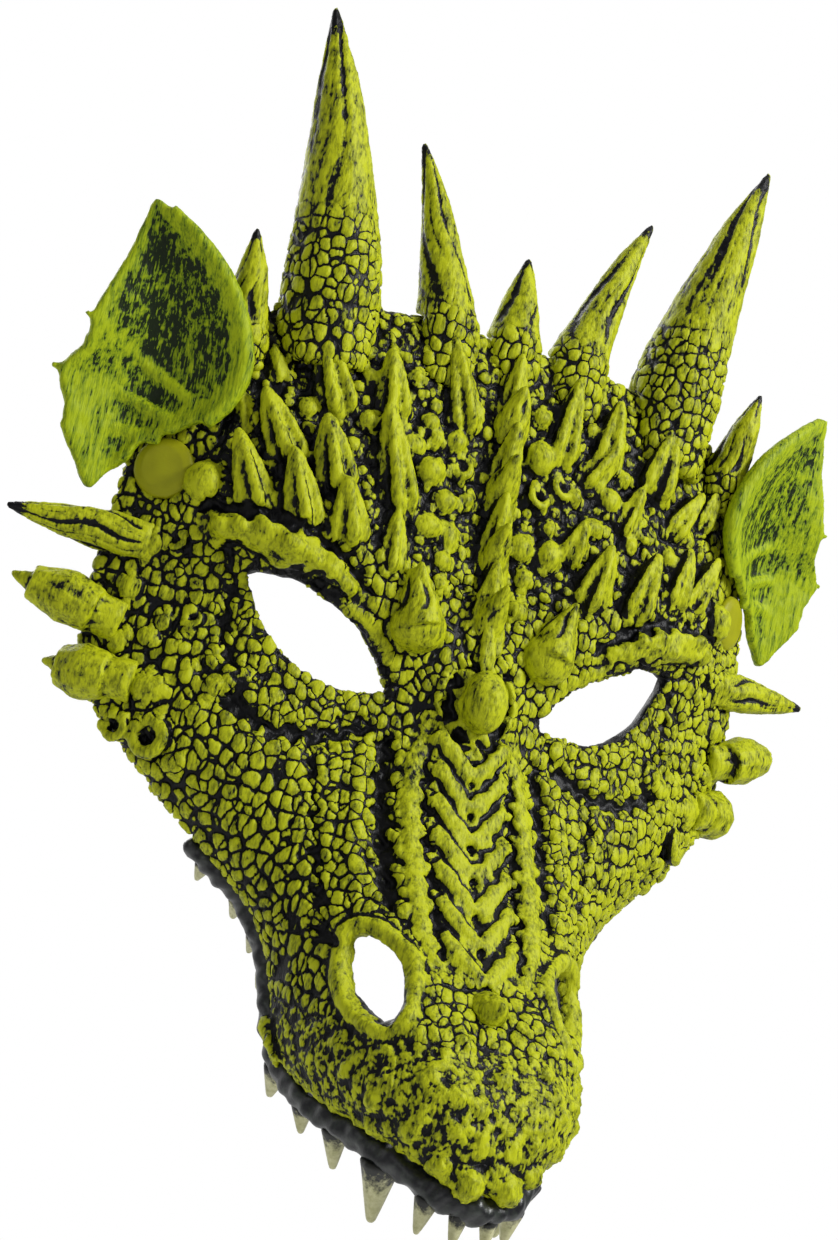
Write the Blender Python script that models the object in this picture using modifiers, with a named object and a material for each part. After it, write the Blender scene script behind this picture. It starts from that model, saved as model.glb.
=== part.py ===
"""A wearable dragon half-mask: a moulded foam face with horns, ear fins, spikes and teeth, on an elastic strap.

The origin lies midway between the inner eye corners. +Z is up, -Y is the way the face looks, and the wearer's
left is +X. All lengths are in metres unless a name or a comment says millimetres.
"""

import math

import bmesh
import bpy
from mathutils import Matrix, Vector
from mathutils.bvhtree import BVHTree

MM = 0.001

# The face shell. The cage below is drawn on a millimetre grid for these four reaches, and follows them.
HALF_WIDTH = 110 * MM
CROWN_HEIGHT = 113 * MM
JAW_DROP = 126 * MM
MUZZLE_REACH = 76 * MM
RIM_DEPTH = 27 * MM
WALL = 4.5 * MM
SEAT_GAP = 0.3 * MM

# Eye openings: an almond between the inner and the outer corner, with an upper and a lower arc.
EYE_INNER = (24.5, -0.5)
EYE_OUTER = (70.0, 24.5)
EYE_UPPER_SAG = 9 * MM
EYE_LOWER_SAG = 12 * MM

EYE_CUT_REACH = 50 * MM

# Nostrils: a pointed oval through each side of the muzzle.
NOSTRIL_CENTRE = (30.0, -77.0)
NOSTRIL_LENGTH = 26 * MM
NOSTRIL_WIDTH = 14 * MM
NOSTRIL_SLANT = math.radians(45)
NOSTRIL_CUT_REACH = 14 * MM

# Gum and teeth. A tooth leans down by TOOTH_DROP as it goes out, and its tip keeps a share of its foot's radius.
GUM_RADIUS = 3.2 * MM
GUM_CLEARANCE = 0.6 * MM
GUM_FIRST_ROW = 12
TOOTH_TIP_SHARE = 0.16
TOOTH_SINK = 0.7
TOOTH_DROP = 0.6

# Strap fixings: an outer button, a rivet through the wall, an inner tab and a stud that the strap swings on.
BUTTON_PLACE = (97.0, 48.0)
BUTTON_RADIUS = 9 * MM
BUTTON_THICKNESS = 3 * MM
BUTTON_CLEARANCE = 0.5 * MM
RIVET_RADIUS = 2 * MM
RIVET_HEAD_RADIUS = 4.2 * MM
RIVET_HEAD_HEIGHT = 1.2 * MM
RIVET_HEAD_PLAY = 0.1 * MM
HOLE_CUT_REACH = 10 * MM
FLAT_DEPTH = 0.7 * MM
FLAT_CUT_REACH = 12 * MM
TAB_FLAT_RADIUS = 12.5 * MM
TAB_THICKNESS = 1.6 * MM
TAB_HEIGHT = 14 * MM
TAB_LEG = 26 * MM
TAB_BASE_OUT = 7.5 * MM
TAB_BASE_IN = 10 * MM
TAB_BEND_RADIUS = 3 * MM
STUD_RADIUS = 1.8 * MM
STUD_HEAD_RADIUS = 3.6 * MM
STUD_FROM_TAB_END = 6 * MM
PIN_CLEARANCE = 0.3 * MM

# Elastic strap.
STRAP_WIDTH = 20 * MM
STRAP_THICKNESS = 1.5 * MM
STRAP_BOW = 78 * MM
STRAP_RISE = math.radians(12)
STRAP_END_MARGIN = 8 * MM
STRAP_STRAIGHT = 8 * MM
STRAP_STEPS = 24

# Cage of one half of the face, in millimetres (across, back, up): each row runs from the ridge to the rim.
CAGE = (
    ("crown edge", (0, 17, 112), (14, 15, 113), (29, 15, 113), (43, 17, 112), (57, 19, 109), (70, 21, 104),
     (81, 23, 100), (91, 25, 94)),
    ("forehead top", (0, 9, 97), (15, 9, 98), (30, 10, 98), (45, 11, 96), (60, 13, 92), (75, 16, 87),
     (89, 21, 82), (99, 27, 77)),
    ("forehead", (0, 7, 79), (15, 5, 80), (30, 5, 79), (46, 6, 77), (62, 8, 73), (78, 12, 69),
     (92, 19, 64), (104, 27, 60)),
    ("forehead foot", (0, 6, 60), (14, 3, 60), (28, 2, 59), (44, 1, 58), (60, 3, 55), (76, 8, 52),
     (92, 17, 48), (107, 27, 44)),
    ("brow top", (0, 3, 43), (12, 0, 42), (25, -2, 39), (41, -4, 40), (57, -3, 43), (74, 3, 44),
     (91, 14, 38), (109, 27, 32)),
    ("brow edge", (0, -2, 28), (10, -5, 26), (21, -6, 22), (35, -7, 25), (51, -6, 32), (70, 1, 37),
     (89, 13, 30), (110, 27, 22)),
    ("upper lid", (0, -8, 16), (9, -9, 13), (19, -4, 10), (34, -1, 14), (50, 1, 20), (66, 6, 27),
     (87, 14, 18), (110, 27, 12)),
    ("eye line", (0, -12, 4), (9, -10, 3), (20, -3, 1), (34, 1, 3), (48, 3, 8), (63, 7, 14),
     (85, 13, 8), (110, 27, 3)),
    ("lower lid", (0, -13, -7), (10, -11, -8), (21, -4, -8), (35, -3, -9), (50, -1, -6), (66, 3, -1),
     (84, 10, -4), (109, 26, -7)),
    ("cheek", (0, -14, -19), (11, -14, -20), (22, -10, -20), (36, -7, -21), (51, -5, -19), (66, -2, -16),
     (84, 7, -17), (107, 24, -18)),
    ("cheek foot", (0, -18, -32), (12, -20, -33), (23, -17, -33), (36, -13, -34), (50, -9, -33), (65, -4, -31),
     (82, 5, -31), (98, 18, -27)),
    ("muzzle root", (0, -25, -45), (12, -28, -46), (23, -27, -47), (35, -20, -47), (47, -12, -47), (59, -4, -46),
     (71, 4, -43), (84, 18, -40)),
    ("muzzle", (0, -33, -58), (12, -37, -59), (23, -37, -60), (34, -30, -61), (43, -20, -61), (51, -8, -60),
     (58, 1, -57), (68, 12, -53)),
    ("muzzle corner", (0, -42, -70), (12, -47, -71), (23, -47, -73), (33, -39, -74), (40, -28, -73), (45, -17, -71),
     (49, -7, -69), (52, 3, -65)),
    ("nostrils", (0, -52, -81), (12, -58, -82), (23, -57, -84), (32, -47, -86), (38, -36, -86), (42, -25, -84),
     (45, -14, -81), (46, -4, -77)),
    ("snout bridge", (0, -64, -93), (12, -69, -94), (23, -65, -96), (32, -54, -97), (38, -42, -96), (42, -30, -94),
     (44, -19, -92), (44, -8, -89)),
    ("snout", (0, -73, -106), (12, -76, -107), (23, -71, -107), (32, -58, -106), (38, -44, -104), (42, -31, -103),
     (43, -22, -100), (43, -12, -98)),
    ("lip", (0, -73, -126), (12, -71, -123), (22, -61, -119), (30, -47, -115), (35, -36, -113), (38, -28, -111),
     (40, -21, -108), (41, -15, -105)),
)
CAGE_COLUMNS = 8
CAGE_REACH = Vector((110, 76, 126))
CAGE_BACK = 27
CAGE_CROWN = 113
FORM_BACK = 50 * MM

# Horns: for each, the radii and the centre line from inside the forehead to the tip, in millimetres.
HORNS = (
    ("horn_mid", True, ((22, 17, 92), (23, 17, 112), (28, 18, 130), (34, 19, 148), (41, 20, 164)),
     (11, 10.5, 7.5, 4.6, 1)),
    ("horn_big", True, ((58, 19, 88), (60, 19, 112), (64, 19, 137), (71, 18, 168), (78, 18, 193)),
     (15, 15.5, 13, 7.8, 1)),
    ("horn_outer", True, ((83, 20, 82), (84, 18, 95), (86, 15, 109), (88, 13, 121)), (8, 7.4, 5, 0.8)),
    ("horn_center", False, ((0, 17, 94), (0, 17, 112), (0, 17, 127), (0, 18, 140)), (9.5, 9.5, 6, 1)),
)

# Spikes down the ridge of the forehead: height of the foot, reach forward, height of the tip, radius (mm).
RIDGE_SPIKES = ((84, 1, 98, 7), (63, -3, 77, 6.5), (43, -7, 56, 6), (24, -14, 37, 6))

# Cheek spikes: foot (across, up), tip (across, back, up), radius of the foot (mm).
CHEEK_SPIKES = (
    ((104, 27), (137, 29, 28), 7.5),
    ((105, 4), (131, 31, 10), 7.5),
    ((98, -13), (117, 31, -12), 7),
)

# Knobs and brow drops: foot (across, up), then how far the tip stands from the foot, and the radius (mm).
NOSE_KNOB = ((0, 1), (0, -9, 4), 8)
SNOUT_KNOB = ((0, -80), (0, -8, 3), 6.5)
BROW_DROP = ((22, 21), (4, -4, 17), 7)

# How a spike tapers: places along it, as shares of the way from foot to tip, and shares of its radius there.
SPIKE_PLACES = (-0.25, 0.3, 0.7, 1.0)
SPIKE_TAPER = (1, 0.85, 0.5, 0.12)

# Ear fin: stations from the tip down, each (inner edge, hollow, web, outer edge), in millimetres.
EAR_FIN = (
    ((113, 15, 119), (114, 17, 120), (116, 18, 121), (118, 19, 123)),
    ((104, 10, 112), (110, 18, 108), (114, 20, 106), (120, 21, 103)),
    ((93, 8, 101), (105, 21, 97), (115, 21, 92), (129, 21, 85)),
    ((87, 8, 90), (103, 24, 86), (113, 24, 81), (124, 23, 76)),
    ((84, 8, 79), (103, 26, 77), (116, 26, 74), (135, 27, 69)),
    ((86, 9, 70), (104, 27, 68), (114, 27, 65), (126, 26, 60)),
    ((92, 13, 62), (106, 27, 60), (115, 27, 57), (129, 26, 53)),
    ((101, 19, 56), (109, 27, 52), (114, 27, 49), (121, 27, 45)),
    ((108, 23, 48), (111, 27, 44), (113, 27, 41), (116, 27, 35)),
)
FIN_THICKNESS = 3.2 * MM
BUTTON_ROOM_REACH = 30 * MM
BUTTON_ROOM_SINK = 5 * MM

# Teeth: share of the way along the half gum from its cheek end to its front, length, radius (mm).
TEETH = (
    (0.045, 7, 2.8), (0.14, 9, 3.4), (0.22, 8, 3.0), (0.30, 7, 2.8), (0.475, 11, 4.0), (0.575, 9, 3.2),
    (0.67, 12, 3.8), (0.79, 18, 5.6), (0.905, 10, 3.4), (0.968, 9, 2.6),
)


def clear_scene():
    for obj in list(bpy.data.objects):
        bpy.data.objects.remove(obj)


def new_collection(name):
    collection = bpy.data.collections.new(name)
    bpy.context.scene.collection.children.link(collection)
    return collection


def new_material(name, colour, roughness, metallic=0.0):
    material = bpy.data.materials.new(name)
    material.use_nodes = True
    shader = material.node_tree.nodes["Principled BSDF"]
    shader.inputs["Base Color"].default_value = (*colour, 1)
    shader.inputs["Roughness"].default_value = roughness
    shader.inputs["Metallic"].default_value = metallic
    return material


clear_scene()
mask = new_collection("dragon_mask")
cutters = new_collection("cutters")

FOAM = new_material("lime painted foam", (0.41, 0.45, 0.005), 0.5)
FIN_FOAM = new_material("green painted foam", (0.16, 0.32, 0.005), 0.5)
BUTTON_PLASTIC = new_material("painted button", (0.29, 0.29, 0.004), 0.45)
GUM_FOAM = new_material("black painted foam", (0.01, 0.011, 0.014), 0.55)
TOOTH_PAINT = new_material("ivory paint", (0.42, 0.4, 0.18), 0.4)
ELASTIC = new_material("black elastic", (0.012, 0.012, 0.013), 0.85)
BLACK_PLASTIC = new_material("black plastic", (0.015, 0.015, 0.016), 0.4)
STEEL = new_material("nickel plated steel", (0.6, 0.6, 0.6), 0.3, 1.0)


def place(across, back, up):
    """A point of the cage's millimetre grid, in metres, stretched to the mask's own reaches."""
    reach = RIM_DEPTH / CAGE_BACK if back > 0 else MUZZLE_REACH / CAGE_REACH.y
    rise = CROWN_HEIGHT / CAGE_CROWN if up > 0 else JAW_DROP / CAGE_REACH.z
    return Vector((across * HALF_WIDTH / CAGE_REACH.x, back * reach, up * rise))


def add_object(name, mesh, material, collection=mask):
    obj = bpy.data.objects.new(name, mesh)
    collection.objects.link(obj)
    if collection is cutters:
        obj.hide_render = True
        obj.display_type = "WIRE"
    if material:
        mesh.materials.append(material)
    return obj


def mesh_of(name, points, faces):
    mesh = bpy.data.meshes.new(name)
    mesh.from_pydata([tuple(point) for point in points], [], faces)
    bm = bmesh.new()
    bm.from_mesh(mesh)
    bmesh.ops.recalc_face_normals(bm, faces=bm.faces)
    bm.to_mesh(mesh)
    bm.free()
    return mesh


def evaluated_mesh(obj, name):
    bpy.context.view_layer.update()
    graph = bpy.context.evaluated_depsgraph_get()
    mesh = bpy.data.meshes.new_from_object(obj.evaluated_get(graph))
    mesh.name = name
    bm = bmesh.new()
    bm.from_mesh(mesh)
    bmesh.ops.remove_doubles(bm, verts=bm.verts, dist=0.00001)
    bm.to_mesh(mesh)
    bm.free()
    return mesh


def cut(obj, cutter, name):
    boolean = obj.modifiers.new(name, "BOOLEAN")
    boolean.operation = "DIFFERENCE"
    boolean.solver = "EXACT"
    boolean.object = cutter


def shade(obj):
    obj.data.shade_smooth()
    obj.data.set_sharp_from_angle(angle=math.radians(40))


def grid_faces(rows, columns):
    faces = []
    for row in range(rows - 1):
        for column in range(columns - 1):
            first = row * columns + column
            faces.append((first, first + 1, first + columns + 1, first + columns))
    return faces


def add_subdivision(obj, levels):
    subdivision = obj.modifiers.new("Subdivision", "SUBSURF")
    subdivision.levels = levels
    subdivision.render_levels = levels
    return subdivision


def add_solidify(obj, thickness, offset):
    solidify = obj.modifiers.new("Solidify", "SOLIDIFY")
    solidify.thickness = thickness
    solidify.offset = offset
    return solidify


# The outer skin of the face, open at the back: half a cage, mirrored and rounded.
cage_points = [place(*point) for row in CAGE for point in row[1:]]
skin_faces = [face[::-1] for face in grid_faces(len(CAGE), CAGE_COLUMNS)]


def skin_object(name, collection):
    mesh = bpy.data.meshes.new(name)
    mesh.from_pydata([tuple(point) for point in cage_points], [], skin_faces)
    obj = add_object(name, mesh, None, collection)
    mirror = obj.modifiers.new("Mirror", "MIRROR")
    mirror.use_clip = True
    mirror.merge_threshold = 0.0001
    add_subdivision(obj, 1)
    triangulate = obj.modifiers.new("Triangulate", "TRIANGULATE")
    triangulate.quad_method = "SHORTEST_DIAGONAL"
    return obj


guide = skin_object("skin_guide", cutters)
skin_mesh = evaluated_mesh(guide, "skin")
if skin_mesh.polygons[0].normal.y > 0:
    skin_mesh.flip_normals()
skin_tree = BVHTree.FromPolygons(
    [vertex.co for vertex in skin_mesh.vertices], [tuple(face.vertices) for face in skin_mesh.polygons]
)


def on_skin(across, up):
    """The point of the skin straight behind (across, up) in cage millimetres, and its outward normal."""
    start = place(across, -2 * CAGE_REACH.y, up)
    point, normal, _, _ = skin_tree.ray_cast(start, Vector((0, 1, 0)))
    return point, normal if normal.y < 0 else -normal


def head_form():
    """The block behind the skin, grown by the seat gap: what sits on the face is cut to shape with it."""
    back = RIM_DEPTH + FORM_BACK
    bm = bmesh.new()
    bm.from_mesh(skin_mesh)
    bm.normal_update()
    moves = {vertex: vertex.normal * SEAT_GAP * vertex.calc_shell_factor() for vertex in bm.verts}
    for edge in [edge for edge in bm.edges if edge.is_boundary]:
        middle = edge.link_faces[0].calc_center_median()
        outward = (edge.verts[0].co + edge.verts[1].co) / 2 - middle
        along = (edge.verts[1].co - edge.verts[0].co).normalized()
        outward -= along * outward.dot(along)
        for vertex in edge.verts:
            moves[vertex] = moves[vertex] + outward.normalized() * SEAT_GAP
    for vertex, move in moves.items():
        vertex.co += move
    rim = [edge for edge in bm.edges if edge.is_boundary]
    extruded = bmesh.ops.extrude_edge_only(bm, edges=rim)["geom"]
    for vertex in [item for item in extruded if isinstance(item, bmesh.types.BMVert)]:
        vertex.co.y = back
    bmesh.ops.holes_fill(bm, edges=[edge for edge in bm.edges if edge.is_boundary])
    bmesh.ops.recalc_face_normals(bm, faces=bm.faces)
    mesh = bpy.data.meshes.new("head_form")
    bm.to_mesh(mesh)
    bm.free()
    return add_object("head_form", mesh, None, cutters)


form = head_form()


def cutting_cylinder(name, point, axis, radius, depth, sides=24):
    """A cutter: a cylinder whose foot is centred on a point and which stands along an axis."""
    bm = bmesh.new()
    turn = axis.to_track_quat("Z", "Y").to_matrix().to_4x4()
    matrix = Matrix.Translation(point + axis * depth / 2) @ turn
    bmesh.ops.create_cone(bm, cap_ends=True, segments=sides, radius1=radius, radius2=radius, depth=depth,
                          matrix=matrix)
    mesh = bpy.data.meshes.new(name)
    bm.to_mesh(mesh)
    bm.free()
    return add_object(name, mesh, None, cutters)


def prism(name, outline, direction, reach):
    """A cutter: a closed outline pushed both ways along a direction."""
    count = len(outline)
    points = [point - direction * reach for point in outline] + [point + direction * reach for point in outline]
    faces = [tuple(range(count)), tuple(range(2 * count - 1, count - 1, -1))]
    faces += [(i, count + i, count + (i + 1) % count, (i + 1) % count) for i in range(count)]
    return add_object(name, mesh_of(name, points, faces), None, cutters)


def arc(start, end, sag, steps):
    """Points on a circular arc from start up to, but not including, end. Sag is its height on the left."""
    chord = end - start
    half = chord.length / 2
    radius = (half * half + sag * sag) / (2 * sag)
    along = chord.normalized()
    side = Vector((-along.y, along.x))
    centre = start + along * half - side * (radius - sag)
    sweep = math.asin(half / radius)
    points = []
    for step in range(steps):
        angle = -sweep + 2 * sweep * step / steps
        points.append(centre + (along * math.sin(angle) + side * math.cos(angle)) * radius)
    return points


def eye_outline(side):
    inner = place(EYE_INNER[0], 0, EYE_INNER[1])
    outer = place(EYE_OUTER[0], 0, EYE_OUTER[1])
    inner = Vector((inner.x, inner.z))
    outer = Vector((outer.x, outer.z))
    flat = arc(inner, outer, EYE_UPPER_SAG, 9) + arc(outer, inner, EYE_LOWER_SAG, 9)
    return [Vector((side * point.x, 0, point.y)) for point in flat]


def nostril_cutter(side):
    point, normal = on_skin(NOSTRIL_CENTRE[0], NOSTRIL_CENTRE[1])
    normal = Vector((normal.x, normal.y, 0)).normalized()
    across = Vector((0, 0, 1)).cross(normal)
    up = Vector((0, 0, 1))
    outline = []
    for step in range(16):
        angle = 2 * math.pi * step / 16
        long_way = math.cos(angle) * NOSTRIL_LENGTH / 2
        wide_way = math.sin(angle) * NOSTRIL_WIDTH / 2 * (1 - 0.25 * abs(math.cos(angle)))
        a = wide_way * math.cos(NOSTRIL_SLANT) + long_way * math.sin(NOSTRIL_SLANT)
        b = long_way * math.cos(NOSTRIL_SLANT) - wide_way * math.sin(NOSTRIL_SLANT)
        spot = point + across * a + up * b
        outline.append(Vector((side * spot.x, spot.y, spot.z)))
    direction = Vector((side * normal.x, normal.y, 0))
    return prism(f"nostril_cutter_{side}", outline, direction, NOSTRIL_CUT_REACH)


# Each side's rivet axis: where it meets the skin, and the skin's own direction there.
button_point, button_normal = on_skin(*BUTTON_PLACE)
button_normal = Vector((button_normal.x, button_normal.y, 0)).normalized()
wall_left = WALL - 2 * FLAT_DEPTH


def sided(vector, side):
    return Vector((side * vector.x, vector.y, vector.z))


SIDES = (("left", 1), ("right", -1))

shell = skin_object("face_shell", mask)
shell.data.materials.append(FOAM)
add_solidify(shell, WALL, -1)
for name, side in SIDES:
    cut(shell, prism(f"eye_cutter_{name}", eye_outline(side), Vector((0, 1, 0)), EYE_CUT_REACH), f"Eye {name}")
    cut(shell, nostril_cutter(side), f"Nostril {name}")
    point = sided(button_point, side)
    normal = sided(button_normal, side)
    seat = point - normal * FLAT_DEPTH
    outer_flat = cutting_cylinder(f"button_flat_{name}", seat, normal, BUTTON_RADIUS + SEAT_GAP, FLAT_CUT_REACH)
    cut(shell, outer_flat, f"Button flat {name}")
    inner_flat = cutting_cylinder(f"tab_flat_{name}", seat - normal * wall_left, -normal, TAB_FLAT_RADIUS,
                                  FLAT_CUT_REACH)
    cut(shell, inner_flat, f"Tab flat {name}")
    rivet_hole = cutting_cylinder(f"rivet_hole_{name}", point - normal * HOLE_CUT_REACH, normal,
                                  RIVET_RADIUS + PIN_CLEARANCE, 2 * HOLE_CUT_REACH, sides=16)
    cut(shell, rivet_hole, f"Rivet hole {name}")
shade(shell)


def swept_horn(name, centres, radii, steps=4):
    """A tapering horn: a bevelled curve through its centre line, made a mesh and seated on the face."""
    curve = bpy.data.curves.new(name, "CURVE")
    curve.dimensions = "3D"
    curve.bevel_depth = MM
    curve.bevel_resolution = 2
    curve.resolution_u = steps
    curve.use_fill_caps = True
    spline = curve.splines.new("BEZIER")
    spline.bezier_points.add(len(centres) - 1)
    for knot, centre, radius in zip(spline.bezier_points, centres, radii):
        knot.co = centre
        knot.radius = radius
        knot.handle_left_type = "AUTO"
        knot.handle_right_type = "AUTO"
    sweep = add_object(name + "_sweep", curve, None, cutters)
    mesh = evaluated_mesh(sweep, name)
    bpy.data.objects.remove(sweep)
    obj = add_object(name, mesh, FOAM)
    cut(obj, form, "Seat")
    shade(obj)


for name, paired, centres, radii in HORNS:
    line = [place(*centre) for centre in centres]
    if paired:
        for side_name, side in SIDES:
            swept_horn(f"{name}_{side_name}", [sided(point, side) for point in line], radii)
    else:
        swept_horn(name, line, radii)


def seated_spike(name, foot, tip, radius, side=1):
    """A short spike: a cone from just under the skin to its tip, with a rounded flank."""
    foot = sided(foot, side)
    tip = sided(tip, side)
    centres = [foot + (tip - foot) * share for share in SPIKE_PLACES]
    swept_horn(name, centres, [radius * share for share in SPIKE_TAPER], steps=2)


for number, (up, reach, tip_up, radius) in enumerate(RIDGE_SPIKES, 1):
    foot, _ = on_skin(0, up)
    seated_spike(f"ridge_spike_{number}", foot, place(0, reach, tip_up), radius)

for side_name, side in SIDES:
    for number, (foot_place, tip, radius) in enumerate(CHEEK_SPIKES, 1):
        foot, _ = on_skin(*foot_place)
        seated_spike(f"cheek_spike_{side_name}_{number}", foot, place(*tip), radius, side)

for name, (foot_place, reach, radius) in (("nose_knob", NOSE_KNOB), ("snout_knob", SNOUT_KNOB)):
    foot, _ = on_skin(*foot_place)
    seated_spike(name, foot, foot + Vector(reach) * MM, radius)

foot_place, reach, radius = BROW_DROP
foot, _ = on_skin(*foot_place)
for side_name, side in SIDES:
    seated_spike(f"brow_drop_{side_name}", foot, foot + Vector(reach) * MM, radius, side)


# Ear fins: a cupped web with three ribs, seated on the rim.
fin_points = [place(*point) for station in EAR_FIN for point in station]
fin_columns = len(EAR_FIN[0])
for side_name, side in SIDES:
    mesh = bpy.data.meshes.new(f"ear_fin_{side_name}")
    faces = grid_faces(len(EAR_FIN), fin_columns)
    if side < 0:
        faces = [face[::-1] for face in faces]
    mesh.from_pydata([tuple(sided(point, side)) for point in fin_points], [], faces)
    fin = add_object(f"ear_fin_{side_name}", mesh, FIN_FOAM)
    add_subdivision(fin, 1)
    add_solidify(fin, FIN_THICKNESS, 0)
    cut(fin, form, "Seat")
    normal = sided(button_normal, side)
    button_room = cutting_cylinder(f"button_room_{side_name}", sided(button_point, side) - normal * BUTTON_ROOM_SINK,
                                   normal, BUTTON_RADIUS + BUTTON_CLEARANCE, BUTTON_ROOM_REACH)
    cut(fin, button_room, "Button room")
    shade(fin)


# The gum: a bead along the free edge of the jaw, from the left cheek round the front to the right cheek.
last_row = len(CAGE) - 1
last_column = CAGE_COLUMNS - 1
free_edge = [(row, last_column) for row in range(GUM_FIRST_ROW - 1, last_row + 1)]
free_edge += [(last_row, column) for column in range(last_column - 1, -1, -1)]


def skin_vertex(row, column):
    target = cage_points[row * CAGE_COLUMNS + column]
    return min(skin_mesh.vertices, key=lambda vertex: (vertex.co - target).length)


edge_vertices = [skin_vertex(row, column) for row, column in free_edge]


def edge_station(index):
    """Where the gum runs at one point of the free edge, and the direction out of the edge."""
    at = edge_vertices[index]
    if index + 1 < len(edge_vertices):
        after = edge_vertices[index + 1].co
    else:
        after = sided(edge_vertices[index - 1].co, -1)
    along = (after - edge_vertices[index - 1].co).normalized()
    row, column = free_edge[index]
    beside = (row - 1) * CAGE_COLUMNS + column if row == last_row else row * CAGE_COLUMNS + column - 1
    outward = along.cross(at.normal).normalized()
    if outward.dot(at.co - cage_points[beside]) < 0:
        outward = -outward
    return at.co - at.normal * WALL / 2 + outward * (GUM_RADIUS + GUM_CLEARANCE), outward


half_gum = [edge_station(index) for index in range(1, len(free_edge))]
gum_line = [sided(point, -1) for point, _ in half_gum] + [point for point, _ in half_gum[-2::-1]]


def gum_tube(name, radius, material, collection):
    curve = bpy.data.curves.new(name, "CURVE")
    curve.dimensions = "3D"
    curve.bevel_depth = radius
    curve.bevel_resolution = 2
    curve.use_fill_caps = True
    spline = curve.splines.new("POLY")
    spline.points.add(len(gum_line) - 1)
    for knot, point in zip(spline.points, gum_line):
        knot.co = (*point, 1)
    sweep = add_object(name + "_sweep", curve, None, cutters)
    mesh = evaluated_mesh(sweep, name)
    bpy.data.objects.remove(sweep)
    return add_object(name, mesh, material, collection)


shade(gum_tube("gum", GUM_RADIUS, GUM_FOAM, mask))
gum_room = gum_tube("gum_room", GUM_RADIUS + SEAT_GAP, None, cutters)


def along_gum(share):
    """The point and outward direction a share of the way along the half gum line."""
    lengths = [0.0]
    for (first, _), (second, _) in zip(half_gum, half_gum[1:]):
        lengths.append(lengths[-1] + (second - first).length)
    goal = share * lengths[-1]
    index = max(i for i in range(len(lengths) - 1) if lengths[i] <= goal)
    part = (goal - lengths[index]) / (lengths[index + 1] - lengths[index])
    point = half_gum[index][0].lerp(half_gum[index + 1][0], part)
    outward = half_gum[index][1].lerp(half_gum[index + 1][1], part).normalized()
    return point, outward


for number, (share, length, radius) in enumerate(TEETH, 1):
    point, outward = along_gum(share)
    direction = (outward + Vector((0, 0, -TOOTH_DROP))).normalized()
    depth = length * MM
    root = point + outward * GUM_RADIUS * TOOTH_SINK
    for side_name, side in SIDES:
        bm = bmesh.new()
        axis = sided(direction, side)
        turn = axis.to_track_quat("Z", "Y").to_matrix().to_4x4()
        middle = sided(root, side) + axis * depth / 2
        bmesh.ops.create_cone(bm, cap_ends=True, segments=10, radius1=radius * MM,
                              radius2=radius * MM * TOOTH_TIP_SHARE, depth=depth,
                              matrix=Matrix.Translation(middle) @ turn)
        mesh = bpy.data.meshes.new(f"tooth_{side_name}_{number}")
        bm.to_mesh(mesh)
        bm.free()
        tooth = add_object(f"tooth_{side_name}_{number}", mesh, TOOTH_PAINT)
        cut(tooth, gum_room, "Seat")
        shade(tooth)


# Strap fixings and strap.
def turned(name, profile, point, axis, material, steps=24):
    """A round piece: a profile of (radius, height) from top to bottom, turned about an axis through a point."""
    mesh = bpy.data.meshes.new(name)
    mesh.from_pydata([(radius, 0, height) for radius, height in profile],
                     [(i, i + 1) for i in range(len(profile) - 1)], [])
    obj = add_object(name, mesh, material)
    obj.location = point
    obj.rotation_mode = "QUATERNION"
    obj.rotation_quaternion = axis.to_track_quat("Z", "Y")
    screw = obj.modifiers.new("Turn", "SCREW")
    screw.axis = "Z"
    screw.steps = steps
    screw.render_steps = steps
    screw.use_merge_vertices = True
    screw.merge_threshold = 0.00001
    return obj


recess_radius = RIVET_HEAD_RADIUS + SEAT_GAP
recess_depth = RIVET_HEAD_HEIGHT + SEAT_GAP
head_top = SEAT_GAP + RIVET_HEAD_HEIGHT - RIVET_HEAD_PLAY
for side_name, side in SIDES:
    point = sided(button_point, side)
    normal = sided(button_normal, side)
    seat = point - normal * FLAT_DEPTH
    button_foot = seat + normal * SEAT_GAP
    turned(f"strap_button_{side_name}",
           [(0, BUTTON_THICKNESS), (BUTTON_RADIUS * 0.7, BUTTON_THICKNESS * 0.9),
            (BUTTON_RADIUS * 0.93, BUTTON_THICKNESS * 0.6), (BUTTON_RADIUS, BUTTON_THICKNESS * 0.25),
            (BUTTON_RADIUS, 0), (recess_radius, 0), (recess_radius, recess_depth), (0, recess_depth)],
           button_foot, normal, BUTTON_PLASTIC)
    # The rivet's head lies in the button's recess, and its tail is clinched over the tab.
    tail_top = -(wall_left + SEAT_GAP + TAB_THICKNESS + SEAT_GAP)
    turned(f"strap_rivet_{side_name}",
           [(0, head_top), (RIVET_HEAD_RADIUS, head_top), (RIVET_HEAD_RADIUS, SEAT_GAP), (RIVET_RADIUS, SEAT_GAP),
            (RIVET_RADIUS, tail_top), (RIVET_HEAD_RADIUS, tail_top), (RIVET_HEAD_RADIUS, tail_top - RIVET_HEAD_HEIGHT),
            (0, tail_top - RIVET_HEAD_HEIGHT)],
           seat, normal, STEEL, 16)

# The tab is a bent plate: its base lies on the flat inside the wall, and its leg runs back.
tab_base = button_point - button_normal * (FLAT_DEPTH + wall_left + SEAT_GAP)
inward = Vector((button_normal.y, -button_normal.x, 0))
if inward.x > 0:
    inward = -inward
bend = tab_base + inward * TAB_BASE_IN
leg_end = bend + Vector((0, TAB_LEG, 0))
hinge = Vector((bend.x, leg_end.y - STUD_FROM_TAB_END, bend.z))


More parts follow.
